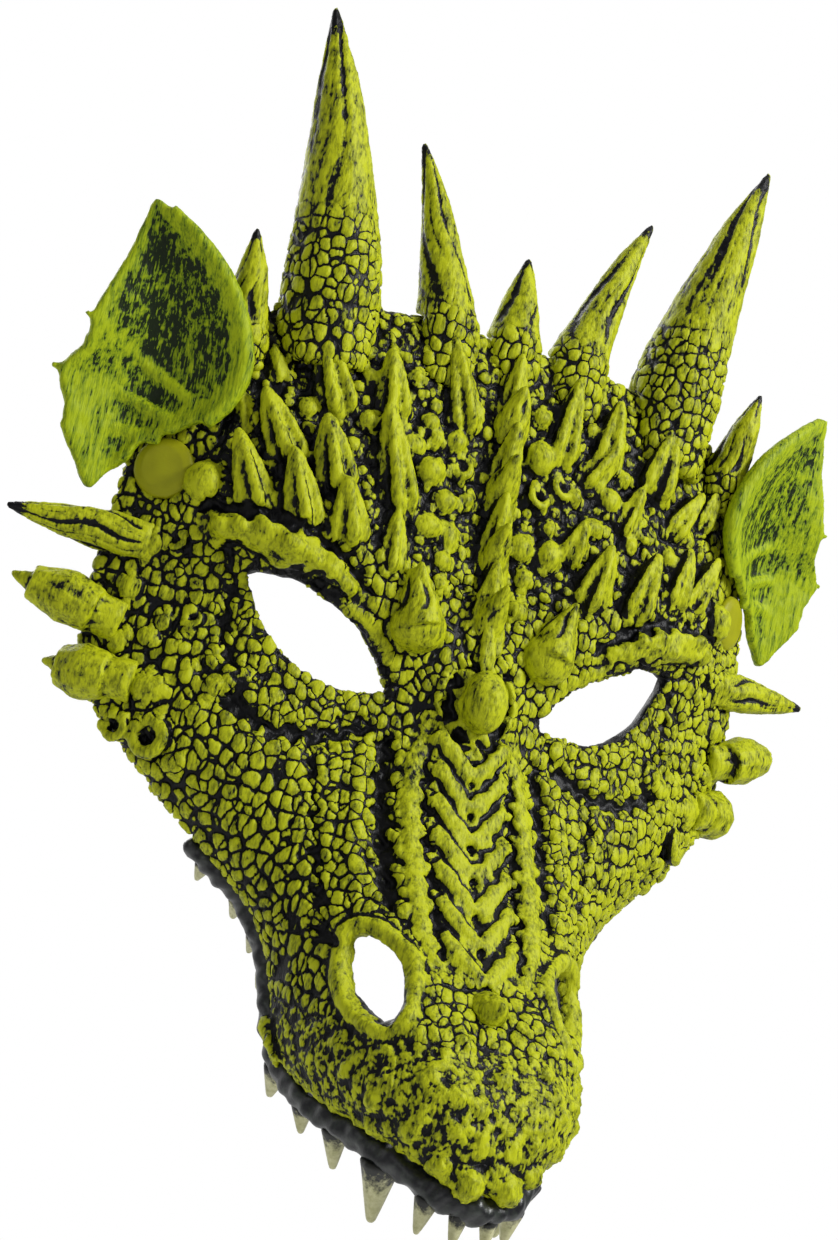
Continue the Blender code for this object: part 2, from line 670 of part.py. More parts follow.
def strip(name, line, height, thickness, offset, material):
    """A band on edge: a line in plan, as high as its width, given a thickness."""
    half = Vector((0, 0, height / 2))
    points = [point - half for point in line] + [point + half for point in line]
    count = len(line)
    faces = [(i, i + 1, count + i + 1, count + i) for i in range(count - 1)]
    mesh = bpy.data.meshes.new(name)
    mesh.from_pydata([tuple(point) for point in points], [], faces)
    obj = add_object(name, mesh, material)
    solidify = add_solidify(obj, thickness, offset)
    solidify.use_even_offset = True
    return obj


for side_name, side in SIDES:
    into_bend = bend - inward * TAB_BEND_RADIUS
    out_of_bend = bend + Vector((0, TAB_BEND_RADIUS, 0))
    line = [tab_base - inward * TAB_BASE_OUT, into_bend]
    for step in range(1, 4):
        share = step / 4
        line.append(into_bend.lerp(bend, share).lerp(bend.lerp(out_of_bend, share), share))
    line += [out_of_bend, leg_end]
    tab = strip(f"strap_tab_{side_name}", [sided(point, side) for point in line], TAB_HEIGHT, TAB_THICKNESS,
                side, BLACK_PLASTIC)
    rivet_hole = cutting_cylinder(f"tab_rivet_hole_{side_name}",
                                  sided(tab_base - button_normal * HOLE_CUT_REACH, side), sided(button_normal, side),
                                  RIVET_RADIUS + PIN_CLEARANCE, 2 * HOLE_CUT_REACH, sides=16)
    stud_hole = cutting_cylinder(f"tab_stud_hole_{side_name}", sided(hinge, side) - Vector((HOLE_CUT_REACH, 0, 0)),
                                 Vector((1, 0, 0)), STUD_RADIUS + PIN_CLEARANCE, 2 * HOLE_CUT_REACH, sides=16)
    cut(tab, rivet_hole, "Rivet hole")
    cut(tab, stud_hole, "Stud hole")

# The stud goes through the tab's leg and the strap's end, with a head on each side.
strap_outer = hinge.x - SEAT_GAP
strap_inner = strap_outer - STRAP_THICKNESS
for side_name, side in SIDES:
    outer_head = TAB_THICKNESS + 2 * SEAT_GAP
    inner_head = strap_inner - hinge.x - SEAT_GAP
    head = RIVET_HEAD_HEIGHT
    turned(f"strap_stud_{side_name}",
           [(0, outer_head + head), (STUD_HEAD_RADIUS, outer_head + head), (STUD_HEAD_RADIUS, outer_head),
            (STUD_RADIUS, outer_head), (STUD_RADIUS, inner_head), (STUD_HEAD_RADIUS, inner_head),
            (STUD_HEAD_RADIUS, inner_head - head), (0, inner_head - head)],
           sided(hinge, side), Vector((side, 0, 0)), STEEL, 16)

# The strap bows out behind the mask from stud to stud. It is drawn level and then turned up about the studs.
half_strap = [Vector((strap_outer, -STRAP_END_MARGIN, 0)), Vector((strap_outer, 0, 0))]
for step in range(STRAP_STEPS // 2 + 1):
    angle = math.pi / 2 * step / (STRAP_STEPS // 2)
    half_strap.append(Vector((strap_outer * math.cos(angle), STRAP_STRAIGHT + STRAP_BOW * math.sin(angle), 0)))
strap_line = half_strap + [sided(point, -1) for point in half_strap[-2::-1]]
strap = strip("strap", strap_line, STRAP_WIDTH, STRAP_THICKNESS, -1, ELASTIC)
strap.location = Vector((0, hinge.y, hinge.z))
strap.rotation_euler.x = STRAP_RISE
for side_name, side in SIDES:
    stud_hole = cutting_cylinder(f"strap_stud_hole_{side_name}", sided(hinge, side) - Vector((HOLE_CUT_REACH, 0, 0)),
                                 Vector((1, 0, 0)), STUD_RADIUS + PIN_CLEARANCE, 2 * HOLE_CUT_REACH, sides=16)
    cut(strap, stud_hole, f"Stud hole {side_name}")
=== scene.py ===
import math
import random

import bmesh
import bpy
import numpy as np
from mathutils import Matrix, Vector
from mathutils.bvhtree import BVHTree


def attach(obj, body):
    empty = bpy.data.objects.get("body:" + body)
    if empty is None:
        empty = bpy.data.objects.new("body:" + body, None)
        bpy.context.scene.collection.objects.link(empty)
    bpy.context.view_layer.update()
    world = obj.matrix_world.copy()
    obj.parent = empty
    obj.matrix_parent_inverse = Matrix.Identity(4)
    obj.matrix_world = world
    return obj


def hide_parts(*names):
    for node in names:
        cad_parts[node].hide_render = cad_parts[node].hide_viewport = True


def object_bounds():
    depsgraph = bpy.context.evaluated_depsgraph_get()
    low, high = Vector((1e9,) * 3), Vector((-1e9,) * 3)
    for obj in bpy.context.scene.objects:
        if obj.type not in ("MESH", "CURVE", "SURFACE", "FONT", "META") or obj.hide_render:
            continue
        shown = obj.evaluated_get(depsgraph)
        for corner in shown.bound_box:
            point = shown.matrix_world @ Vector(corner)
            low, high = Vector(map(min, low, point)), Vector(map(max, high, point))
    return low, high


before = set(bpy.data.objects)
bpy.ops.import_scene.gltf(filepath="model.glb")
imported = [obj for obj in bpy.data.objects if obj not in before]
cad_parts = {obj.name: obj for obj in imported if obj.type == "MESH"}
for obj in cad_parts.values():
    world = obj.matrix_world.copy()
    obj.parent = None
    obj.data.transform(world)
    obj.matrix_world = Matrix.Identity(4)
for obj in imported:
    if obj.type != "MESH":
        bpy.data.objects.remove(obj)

cad_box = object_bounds()


# The camera: a viewer at the wearer's right, a little below the eyes, who looks slightly up.
CAMERA_PLACE = Vector((-0.2678, -0.5493, -0.0359))
CAMERA_FORWARD = Vector((0.4106, 0.9068, 0.0958)).normalized()
CAMERA_UP = Vector((-0.2272, 0, 0.9739))
CAMERA_LENS = 60.97

camera_data = bpy.data.cameras.new("camera")
camera_data.lens = CAMERA_LENS
camera_data.sensor_width = 36
camera_data.clip_start = 0.01
camera = bpy.data.objects.new("camera", camera_data)
bpy.context.scene.collection.objects.link(camera)
camera_right = CAMERA_FORWARD.cross(CAMERA_UP).normalized()
camera_top = camera_right.cross(CAMERA_FORWARD)
camera_turn = Matrix((camera_right, camera_top, -CAMERA_FORWARD)).transposed()
camera.matrix_world = Matrix.Translation(CAMERA_PLACE) @ camera_turn.to_4x4()
bpy.context.scene.camera = camera


# The studio: a wide white floor under the hanging mask, a white room, and soft light from the wearer's left.
FLOOR_DROP = 0.6
FLOOR_RADIUS = 2.0


def linear(hex_colour):
    """An sRGB hex colour as linear red, green, blue and alpha."""
    parts = [int(hex_colour[i:i + 2], 16) / 255 for i in (1, 3, 5)]
    return tuple(p / 12.92 if p <= 0.04045 else ((p + 0.055) / 1.055) ** 2.4 for p in parts) + (1.0,)


def add_node(tree, kind, links=None, **settings):
    """Adds a node, sets its settings, and feeds its inputs with sockets or plain values."""
    made = tree.nodes.new(kind)
    for key, value in settings.items():
        setattr(made, key, value)
    for key, source in (links or {}).items():
        if isinstance(source, bpy.types.NodeSocket):
            tree.links.new(source, made.inputs[key])
        else:
            made.inputs[key].default_value = source
    return made


def new_material(name):
    """An empty material: its node tree, with a Principled BSDF wired to the output, and the shader."""
    material = bpy.data.materials.new(name)
    material.use_nodes = True
    tree = material.node_tree
    tree.nodes.clear()
    shader = add_node(tree, "ShaderNodeBsdfPrincipled")
    add_node(tree, "ShaderNodeOutputMaterial", {"Surface": shader.outputs["BSDF"]})
    return material, tree, shader


def deselect():
    for obj in bpy.context.selected_objects:
        obj.select_set(False)


def only(obj):
    deselect()
    obj.select_set(True)
    bpy.context.view_layer.objects.active = obj
    return obj


floor_paint, floor_tree, floor_shader = new_material("matt white floor paint")
floor_grain = add_node(floor_tree, "ShaderNodeTexNoise", {"Scale": 6.0, "Detail": 3.0})
floor_tint = add_node(floor_tree, "ShaderNodeMix", {0: floor_grain.outputs["Fac"], 6: linear("#e9e9e8"),
                      7: linear("#efefef")}, data_type="RGBA")
floor_tree.links.new(floor_tint.outputs[2], floor_shader.inputs["Base Color"])
floor_shader.inputs["Roughness"].default_value = 0.9
deselect()
bpy.ops.mesh.primitive_circle_add(vertices=64, radius=FLOOR_RADIUS, fill_type="NGON",
                                  location=(0, 0, cad_box[0].z - FLOOR_DROP))
floor = bpy.context.object
floor.name = "floor"
floor.data.materials.append(floor_paint)

world = bpy.data.worlds.new("white room")
world.use_nodes = True
world_tree = world.node_tree
sky_way = add_node(world_tree, "ShaderNodeTexCoord")
sky_parts = add_node(world_tree, "ShaderNodeSeparateXYZ", {0: sky_way.outputs["Generated"]})
sky_level = add_node(world_tree, "ShaderNodeMapRange", {"Value": sky_parts.outputs["Y"], "From Min": 0.15,
                     "From Max": 0.75, "To Min": 0.26, "To Max": 1.0})
world_tree.nodes["Background"].inputs["Color"].default_value = linear("#ffffff")
world_tree.links.new(sky_level.outputs[0], world_tree.nodes["Background"].inputs["Strength"])
bpy.context.scene.world = world

LIGHTS = (
    ("key", (0.95, -1.0, 0.85), 0.4, 25),
    ("fill", (-1.2, -1.1, 0.2), 1.0, 2.2),
    ("top", (0.2, -0.1, 1.6), 1.0, 5),
    ("back", (-0.3, 1.5, 0.7), 1.0, 14),
)
for light_name, place, width, power in LIGHTS:
    light_data = bpy.data.lights.new(light_name, "AREA")
    light_data.size = width
    light_data.energy = power
    light = bpy.data.objects.new(light_name, light_data)
    bpy.context.scene.collection.objects.link(light)
    light.location = place
    light.rotation_euler = (-Vector(place)).to_track_quat("-Z", "Y").to_euler()
bpy.context.scene.view_settings.view_transform = "Standard"


# The face: one skin of moulded polyurethane foam, black all through, with its scales, cones and brows in
# the mould, and lime paint dry-brushed over them so that only what stands proud takes the colour.
MM = 0.001
FACE_VOXEL = 0.8 * MM
SCALE_SIZE = 4.0 * MM
FACE_CENTRE_BACK = 70
EYE_INNER = Vector((24.5, -0.5))
EYE_OUTER = Vector((70.0, 24.5))
EYE_UPPER_SAG = 9
EYE_LOWER_SAG = 12
NOSTRIL_POINT = Vector((30, -43, -77)) * MM
NOSTRIL_WAY = Vector((0.75, -0.66, 0)).normalized()
NOSTRIL_HALF = (13, 7)
NOSTRIL_SLANT = math.radians(45)

rng = random.Random(7)


def copy_of_node(node, name):
    """A merged copy of a CAD node's mesh as a new object."""
    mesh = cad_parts[node].data.copy()
    mesh.name = name
    mesh.materials.clear()
    bm = bmesh.new()
    bm.from_mesh(mesh)
    bmesh.ops.remove_doubles(bm, verts=bm.verts, dist=0.01 * MM)
    bm.to_mesh(mesh)
    bm.free()
    obj = bpy.data.objects.new(name, mesh)
    bpy.context.scene.collection.objects.link(obj)
    return obj


def apply_modifier(obj, kind, **settings):
    modifier = obj.modifiers.new(kind.title(), kind)
    for key, value in settings.items():
        setattr(modifier, key, value)
    only(obj)
    bpy.ops.object.modifier_apply(modifier=modifier.name)


def join(name, parts):
    deselect()
    for part in parts:
        part.select_set(True)
    bpy.context.view_layer.objects.active = parts[0]
    bpy.ops.object.join()
    parts[0].name = name
    parts[0].data.name = name
    return parts[0]


face = copy_of_node("face_shell", "face_foam")
skin_mesh = bmesh.new()
skin_mesh.from_mesh(face.data)
skin_tree = BVHTree.FromBMesh(skin_mesh)
skin_mesh.free()
apply_modifier(face, "SUBSURF", levels=1, render_levels=1)


def on_skin(across, up, lift=0.0):
    """The point in front of the skin at a place given in millimetres, and the skin's normal there."""
    point, normal, _, _ = skin_tree.ray_cast(Vector((across * MM, -0.3, up * MM)), Vector((0, 1, 0)))
    if point is None:
        point, normal, _, _ = skin_tree.find_nearest(Vector((across * MM, 0.01, up * MM)))
    if normal.y > 0:
        normal = -normal
    return point + normal * lift * MM, normal


def master(add, shape=None, **settings):
    """A small shape that is modelled once at unit size, and kept out of the scene."""
    deselect()
    add(location=(0, 0, 0), **settings)
    obj = bpy.context.object
    if shape:
        for vertex in obj.data.vertices:
            vertex.co = shape(vertex.co)
    bpy.context.scene.collection.objects.unlink(obj)
    return obj


def stamp(source, place, axis, size, turn=0.0):
    """A copy of a master at a place, with its Z along an axis, and its three sizes in millimetres."""
    copy = bpy.data.objects.new(source.name, source.data.copy())
    bpy.context.scene.collection.objects.link(copy)
    frame_of_axis = axis.to_track_quat("Z", "Y").to_matrix().to_4x4()
    scaling = Matrix.Diagonal((size[0] * MM, size[1] * MM, size[2] * MM, 1))
    copy.data.transform(Matrix.Translation(place) @ frame_of_axis @ Matrix.Rotation(turn, 4, "Z") @ scaling)
    return copy


def claw_shape(co):
    """A cone with a blunt tip: the lower half of a ball pushed in, and five furrows down its flank."""
    angle = math.atan2(co.y, co.x)
    furrow = (0.5 + 0.5 * math.cos(5 * angle)) ** 3
    taper = 1 - 0.34 * max(0.0, co.z)
    radius = taper * (1 - 0.45 * furrow * max(0.0, 1 - abs(co.z) ** 4))
    return Vector((co.x * radius, co.y * radius, co.z if co.z > 0 else co.z * 0.3))


claw = master(bpy.ops.mesh.primitive_uv_sphere_add, claw_shape, segments=30, ring_count=14, radius=1)
bead = master(bpy.ops.mesh.primitive_ico_sphere_add, None, subdivisions=3, radius=1)
pebble = master(bpy.ops.mesh.primitive_ico_sphere_add, None, subdivisions=2, radius=1)
ring = master(bpy.ops.mesh.primitive_torus_add, None, major_segments=20, minor_segments=8,
              major_radius=0.68, minor_radius=0.32)

# Cones of the forehead: foot and tip (across, up), width and how far the tip stands out, in millimetres.
CLAWS_RIGHT = (
    (74.5, 45, 80, 61.5, 9, 5), (61, 43.5, 65.7, 59, 9, 6), (67, 60.5, 75, 75, 9.5, 5),
    (53, 56, 58, 71, 10, 6),
    (47.5, 41, 51, 54, 9.5, 6), (55, 79, 61.7, 96, 10, 6), (38.5, 81, 41.7, 95.4, 9, 6),
    (33.5, 56, 40.7, 79, 9.5, 5), (15.5, 85, 22.7, 105, 8.5, 5), (71.5, 82, 74, 89, 5, 3),
    (33, 36, 34, 50, 7, 3), (79, 66, 82, 76, 5, 3),
)
CLAWS_LEFT = (
    (18, 83, 20.3, 104, 9, 5), (34, 84, 34.5, 101, 9, 6), (29, 77, 37, 90, 8, 5), (53, 82, 54.3, 97, 12, 7),
    (33, 41, 36, 56, 9.5, 6), (49, 42, 52, 57.5, 9.5, 6), (64, 49, 66, 63, 9, 5), (63, 70, 70, 82, 8, 5),
    (74, 50, 79, 64, 8, 5), (25, 52, 27, 62, 8, 4), (43, 66, 46, 78, 7, 4), (76, 76, 80, 88, 7, 4),
)
# Beads: place, width and height (mm).
BEADS_RIGHT = (
    (26.5, 79.5, 5.5, 5.5), (24, 75, 5, 5), (17.5, 76, 6.5, 6.5), (31, 71.5, 8, 6), (24.5, 65, 8, 8),
    (18.5, 57.5, 7.5, 7), (23, 49, 9, 7), (15.5, 47.5, 5.5, 10), (17, 40, 6, 6), (16.5, 33, 5, 5),
    (45.5, 75, 6, 6), (63, 74, 6, 6), (87, 46, 10, 11), (46, 88, 5, 5), (32, 92, 5, 5), (29, 101, 4.5, 4.5),
    (69, 96, 4, 5), (49, 66, 4, 4), (11, 60, 5, 5), (12, 84, 4.5, 4.5),
)
BEADS_LEFT = (
    (11, 78.5, 9, 10), (19.5, 84, 9, 7), (36, 72, 7, 7), (31, 62, 8, 6), (8.5, 50, 8, 8), (18, 50, 7.5, 9),
    (10.5, 41, 6, 7), (9.5, 31, 6.5, 6.5), (24, 70, 5, 5), (41, 80, 5, 5), (10, 91, 6, 6), (28, 92, 5, 5),
    (56, 78, 6, 7), (45, 60, 5, 5), (60, 60, 6, 6), (87, 46, 10, 11), (17, 58, 5, 5), (40, 50, 4, 4),
)
# Rings with a dark hollow: place and outer width (mm).
RINGS_RIGHT = ((14.5, 69, 8.5), (90.5, 28.5, 6.5), (82, 8, 7), (95.5, -26, 9), (87, -27, 13))
RINGS_LEFT = ((12.5, 67, 9), (19.5, 71.5, 8.5), (49.5, 65, 7), (90.5, 28.5, 6.5), (84, -26, 12), (95, -12, 8))
# Lumps of the cheek: place, width and height (mm).
LUMPS = (
    (96, 26, 7, 9), (99, 13, 8, 9), (99, -2, 8, 7), (92, 0, 7, 7), (84.5, -0.5, 5.5, 6), (89, 6, 6, 6),
    (81, -7, 6, 7), (74, -10, 7, 7), (75.5, -1.5, 5, 6), (90, -14, 13, 9), (83, 24, 4, 7), (87, 20, 4, 6),
    (82, 14, 5, 5), (77, 12, 4, 5), (92, 14, 4, 6), (69, -6, 9, 8), (78, -17, 6, 5), (80, -33, 7, 6),
    (88, -37, 6, 6), (84, -43, 6, 6), (6, -122, 9, 9), (14, -118, 8, 7), (22, -112, 7, 6), (30, -106, 6, 6),
)
# Overlapping scales of the crest, down the middle of the forehead: foot, tip (up), width and lift (mm).
CREST = ((83, 106, 10, 7), (61, 86, 11, 7.5), (40, 65, 11, 7), (20, 43, 11, 6.5), (8, 24, 8, 4))

sculpt = [face]
hollows = []
for side, claws, beads, rings in ((-1, CLAWS_RIGHT, BEADS_RIGHT, RINGS_RIGHT),
                                  (1, CLAWS_LEFT, BEADS_LEFT, RINGS_LEFT)):
    for foot_x, foot_z, tip_x, tip_z, width, lift in claws:
        foot, normal = on_skin(side * foot_x, foot_z, -0.6)
        tip, _ = on_skin(side * tip_x, tip_z, lift)
        axis = tip - foot
        size = (width * 0.68, width * 0.7, axis.length / MM * 1.06)
        sculpt.append(stamp(claw, foot, axis, size, rng.uniform(0, 6.28)))
        for turn in (-1, 1):
            root = foot + Vector((turn * width * 0.42, 0, -1.5)) * MM
            size = (width * 0.27, width * 0.27, width * 0.62)
            sculpt.append(stamp(claw, root, axis + Vector((turn * 2, 0, 0)) * MM, size, rng.uniform(0, 6.28)))
    for x, z, width, height in beads:
        place, normal = on_skin(side * x, z, -0.3)
        sculpt.append(stamp(bead, place, normal, (width * 0.6, height * 0.6, min(width, height) * 0.6)))
    for x, z, width in rings:
        place, normal = on_skin(side * x, z, width * 0.12)
        aim = (normal + Vector((side * 0.3, 0, 0.35))).normalized()
        sculpt.append(stamp(ring, place, aim, (width / 2, width / 2, width / 2)))
        hollows.append((place, width * 0.2))
    for x, z, width, height in LUMPS:
        place, normal = on_skin(side * x, z, -0.4)
        sculpt.append(stamp(bead, place, normal, (width / 2, height / 2, min(width, height) * 0.42)))
for foot_z, tip_z, width, lift in CREST:
    foot, _ = on_skin(0, foot_z, -1.5)
    tip, _ = on_skin(0, tip_z, lift)
    axis = tip - foot
    size = (width * 0.6, width * 0.55, axis.length / MM)
    sculpt.append(stamp(claw, foot, axis, size, rng.uniform(0, 6.28)))


def rope(points, radii, closed=False):
    """A round bead of foam laid along a line: a bevelled curve made a mesh, radii in millimetres."""
    curve = bpy.data.curves.new("rope", "CURVE")
    curve.dimensions = "3D"
    curve.bevel_depth = MM
    curve.bevel_resolution = 3
    curve.resolution_u = 4
    curve.use_fill_caps = True
    spline = curve.splines.new("BEZIER")
    spline.bezier_points.add(len(points) - 1)
    spline.use_cyclic_u = closed
    for knot, point, radius in zip(spline.bezier_points, points, radii):
        knot.co = point
        knot.radius = radius
        knot.handle_left_type = "AUTO"
        knot.handle_right_type = "AUTO"
    obj = bpy.data.objects.new("rope", curve)
    bpy.context.scene.collection.objects.link(obj)
    only(obj)
    bpy.ops.object.convert(target="MESH")
    obj = bpy.context.object
    bm = bmesh.new()
    bm.from_mesh(obj.data)
    bmesh.ops.remove_doubles(bm, verts=bm.verts, dist=0.01 * MM)
    bmesh.ops.recalc_face_normals(bm, faces=bm.faces)
    bm.to_mesh(obj.data)
    bm.free()
    return obj


def eye_edge(share, sag, out=0.0):
    """A place on an eye's edge, from its inner corner to its outer one, and a way out from the edge."""
    chord = EYE_OUTER - EYE_INNER
    across_chord = Vector((-chord.y, chord.x)).normalized() * (1 if sag > 0 else -1)
    return EYE_INNER + chord * share + across_chord * (abs(sag) * 4 * share * (1 - share) + out)


# Brow over the eye: centre line (across, up) and radius; then the thin lid rim under it (mm).
BROW = ((84, 36, 3), (77.5, 36, 5), (71, 35.2, 6.2), (64, 34, 6.5), (58, 32, 6.2), (52.5, 30, 5.2),
        (47, 27, 4.2), (42, 24, 3.0))
LID_RIM = ((58, 26.5, 1.4), (49, 23, 2.1), (41, 19.6, 2.5), (33, 15.3, 2.6), (27, 9.5, 2.4), (23.5, 4, 1.6))
CHEEK_FOLD = ((31, -16, 2.4), (33, -34, 3.2), (33, -52, 3), (31, -62, 2))
MUZZLE_FOLD = ((14, -8, 3.6), (16.5, -18, 5), (18, -32, 5.6), (18, -48, 5.6), (16.5, -62, 5.0),
               (13, -71, 3.8))
RING_STEPS = 16


def nostril_ring(side, out, depth):
    """Places on the skin round a nostril, a distance out from its edge (mm)."""
    across = Vector((0, 0, 1)).cross(NOSTRIL_WAY)
    places = []
    for step in range(RING_STEPS):
        angle = 2 * math.pi * step / RING_STEPS
        long_way = math.cos(angle) * (NOSTRIL_HALF[0] + out) * MM
        wide_way = math.sin(angle) * (NOSTRIL_HALF[1] * (1 - 0.25 * abs(math.cos(angle))) + out) * MM
        sideways = wide_way * math.cos(NOSTRIL_SLANT) + long_way * math.sin(NOSTRIL_SLANT)
        upward = long_way * math.cos(NOSTRIL_SLANT) - wide_way * math.sin(NOSTRIL_SLANT)
        spot = NOSTRIL_POINT + across * sideways + Vector((0, 0, upward))
        spot = Vector((spot.x * side, spot.y, spot.z))
        way = Vector((NOSTRIL_WAY.x * side, NOSTRIL_WAY.y, 0))
        point, normal, _, _ = skin_tree.ray_cast(spot + way * 0.03, -way)
        if point is None:
            point, normal, _, _ = skin_tree.find_nearest(spot)
        places.append(point + normal * depth * MM)
    return places


CHEVRON_PITCH = 9.0
CHEVRON_BARS = 7
CHEVRON_TOP = -13
BROW_LUMPS = 26
COLLAR_STEPS = 12
for side in (-1, 1):
    for line, sink in ((BROW, -1.0), (LID_RIM, -0.4), (CHEEK_FOLD, -1.8), (MUZZLE_FOLD, -3.2)):
        places = [on_skin(side * x, z, sink)[0] for x, z, _ in line]
        sculpt.append(rope(places, [radius for _, _, radius in line]))
    ring_places = nostril_ring(side, 3.1, -0.4)
    sculpt.append(rope(ring_places, [2.5 + 0.4 * math.sin(2.3 * k) for k in range(RING_STEPS)], True))
    for step in range(CHEVRON_BARS):
        top = CHEVRON_TOP - step * CHEVRON_PITCH
        places = [on_skin(side * x, top - 7 + x * 1.0, -2.7 + 0.1 * x)[0] for x in (0, 3, 6, 9, 11.5)]
        sculpt.append(rope(places, [5.7, 5.6, 5.4, 5.0, 3.8]))
collar_angles = np.linspace(0, 2 * math.pi, COLLAR_STEPS, False)
collar = [on_skin(11.5 * math.cos(a), 1 + 12 * math.sin(a), -0.2)[0] for a in collar_angles]
sculpt.append(rope(collar, [1.7] * COLLAR_STEPS, True))
for side in (-1, 1):
    for row, count in ((2.4, 20), (6.0, 18)):
        for step in range(count):
            share = 0.03 + 0.95 * (step + 0.5 * (row > 3)) / count
            edge = eye_edge(share, -EYE_LOWER_SAG, row)
            place, normal = on_skin(side * edge.x, edge.y, -0.5)
            width = rng.uniform(1.8, 2.5)
            sculpt.append(stamp(pebble, place, normal, (width, width * 0.9, width * 0.85)))
    for step in range(BROW_LUMPS):
        x, z, radius = BROW[1 + step % 6]
        turn = rng.uniform(-1.2, 2.0)
        place, normal = on_skin(side * (x + rng.uniform(-3, 3)), z + radius * 0.7 * math.sin(turn), 0)
        place += normal * (radius * math.cos(turn) - 2.4) * MM
        width = rng.uniform(2.0, 3.2)
        sculpt.append(stamp(bead, place, Vector((side * 0.9, 0, 0.35)), (width, width, width * 1.5)))

# Knobbly bumps cover the snout.
SNOUT_BUMPS = 110
for _ in range(SNOUT_BUMPS):
    place, normal = on_skin(rng.uniform(-41, 41), rng.uniform(-121, -84), -1.0)
    width = rng.uniform(1.8, 3.4)
    sculpt.append(stamp(pebble, place, normal, (width, width * rng.uniform(0.8, 1.3), width * 0.8)))

# Small pebbles fill the floor of the forehead between the cones, clear of its beads.
PEBBLE_TRIES = 1500
BEAD_ROOM = 3.2
PEBBLE_CLOSENESS = 0.92
taken = [(side * x, z, BEAD_ROOM) for side, beads in ((-1, BEADS_RIGHT), (1, BEADS_LEFT))
         for x, z, *_ in beads]
for _ in range(PEBBLE_TRIES):
    x = rng.uniform(-86, 86)
    z = rng.uniform(30, 111)
    if abs(x) < 5 or (z < 42 and abs(x) > 36):
        continue
    radius = rng.uniform(1.2, 2.1)
    if any(math.hypot(x - u, z - v) < (radius + r) * PEBBLE_CLOSENESS for u, v, r in taken):
        continue
    taken.append((x, z, radius))
    place, normal = on_skin(x, z, -0.2)
    sculpt.append(stamp(pebble, place, normal, (radius, radius, radius * 1.1)))

# How far under the skin a stamp or rope may reach (mm), which is less than the wall's thickness.
DEEPEST_ROOT = 3.6


def keep_in_wall(obj):
    """Lifts what a stamp or rope has under the skin, so that nothing shows on the inside of the wall."""
    for vertex in obj.data.vertices:
        point, normal, _, _ = skin_tree.ray_cast(Vector((vertex.co.x, -0.3, vertex.co.z)), Vector((0, 1, 0)))
        if point is not None and (vertex.co - point).dot(normal) < -DEEPEST_ROOT * MM:
            vertex.co -= normal * ((vertex.co - point).dot(normal) + DEEPEST_ROOT * MM)


for part in sculpt[1:]:
    keep_in_wall(part)
face = join("face_foam", sculpt)
apply_modifier(face, "REMESH", mode="VOXEL", voxel_size=FACE_VOXEL)


def read_points(mesh, what="vertices"):
    values = np.empty(len(mesh.vertices) * 3, np.float32)
    if what == "vertices":
        mesh.vertices.foreach_get("co", values)
    else:
        mesh.vertex_normals.foreach_get("vector", values)
    return values.reshape(-1, 3).astype(float)


def write_points(mesh, points):
    mesh.vertices.foreach_set("co", points.astype(np.float32).ravel())
    mesh.update()


def write_attribute(mesh, name, values):
    kind = "FLOAT_VECTOR" if values.ndim == 2 else "FLOAT"
    attribute = mesh.attributes.get(name) or mesh.attributes.new(name, kind, "POINT")
    attribute.data.foreach_set("vector" if values.ndim == 2 else "value", values.astype(np.float32).ravel())


def faired(mesh, points, rounds, share=0.5):
    """The points after some rounds of moving each one towards the middle of its neighbours."""
    edges = np.empty(len(mesh.edges) * 2, np.int32)
    mesh.edges.foreach_get("vertices", edges)
    first, second = edges.reshape(-1, 2).T
    number = len(points)
    count = np.bincount(first, minlength=number) + np.bincount(second, minlength=number)
    count = np.maximum(count, 1)
    for _ in range(rounds):
        sums = [np.bincount(first, points[second, k], number) + np.bincount(second, points[first, k], number)
                for k in range(points.shape[1])]
        middle = np.stack(sums, axis=1) / count[:, None]
        points = points + share * (middle - points)
    return points


def smooth_step(values, low, high):
    t = np.clip((values - low) / (high - low), 0, 1)
    return t * t * (3 - 2 * t)


def near_line(points, line, width):
    """1 on a line through space, falling to 0 at a width from it; all in metres."""
    best = np.full(len(points), 1e9)
    for a, b in zip(line, line[1:]):
        a = np.array(a)
        span = np.array(b) - a
        share = np.clip((points - a) @ span / (span @ span), 0, 1)
        best = np.minimum(best, np.linalg.norm(points - a - share[:, None] * span, axis=1))
    return smooth_step(-best, -width, 0)


def scale_dome(tree, rest, size):
    """How high a point of a scale stands, 0 in the groove to 1 on top. The cells are taller than wide."""
    tall = add_node(tree, "ShaderNodeVectorMath", {0: rest, 1: (1.12, 1.0, 0.88)}, operation="MULTIPLY")
    bend = add_node(tree, "ShaderNodeTexNoise", {"Vector": tall.outputs[0], "Scale": 1 / (7 * MM),
                    "Detail": 1.0})
    bent = add_node(tree, "ShaderNodeVectorMath", {0: bend.outputs["Color"], 2: tall.outputs[0],
                    1: (3.4 * MM, 3.4 * MM, 3.4 * MM)}, operation="MULTIPLY_ADD")
    edges = add_node(tree, "ShaderNodeTexVoronoi", {"Vector": bent.outputs[0], "Scale": 1 / size,
                     "Randomness": 0.7}, feature="DISTANCE_TO_EDGE")
    middles = add_node(tree, "ShaderNodeTexVoronoi", {"Vector": bent.outputs[0], "Scale": 1 / size,
                       "Randomness": 0.7}, feature="F1")
    slope = add_node(tree, "ShaderNodeMapRange", {"Value": edges.outputs["Distance"], "From Min": 0.0,
                     "From Max": 0.15}, interpolation_type="SMOOTHERSTEP")
    disc = add_node(tree, "ShaderNodeMapRange", {"Value": middles.outputs["Distance"], "From Min": 0.86,
                    "From Max": 0.4}, interpolation_type="SMOOTHERSTEP")
    both = add_node(tree, "ShaderNodeMath", {0: slope.outputs["Result"], 1: disc.outputs["Result"]},
                    operation="MULTIPLY")
    return both.outputs[0]


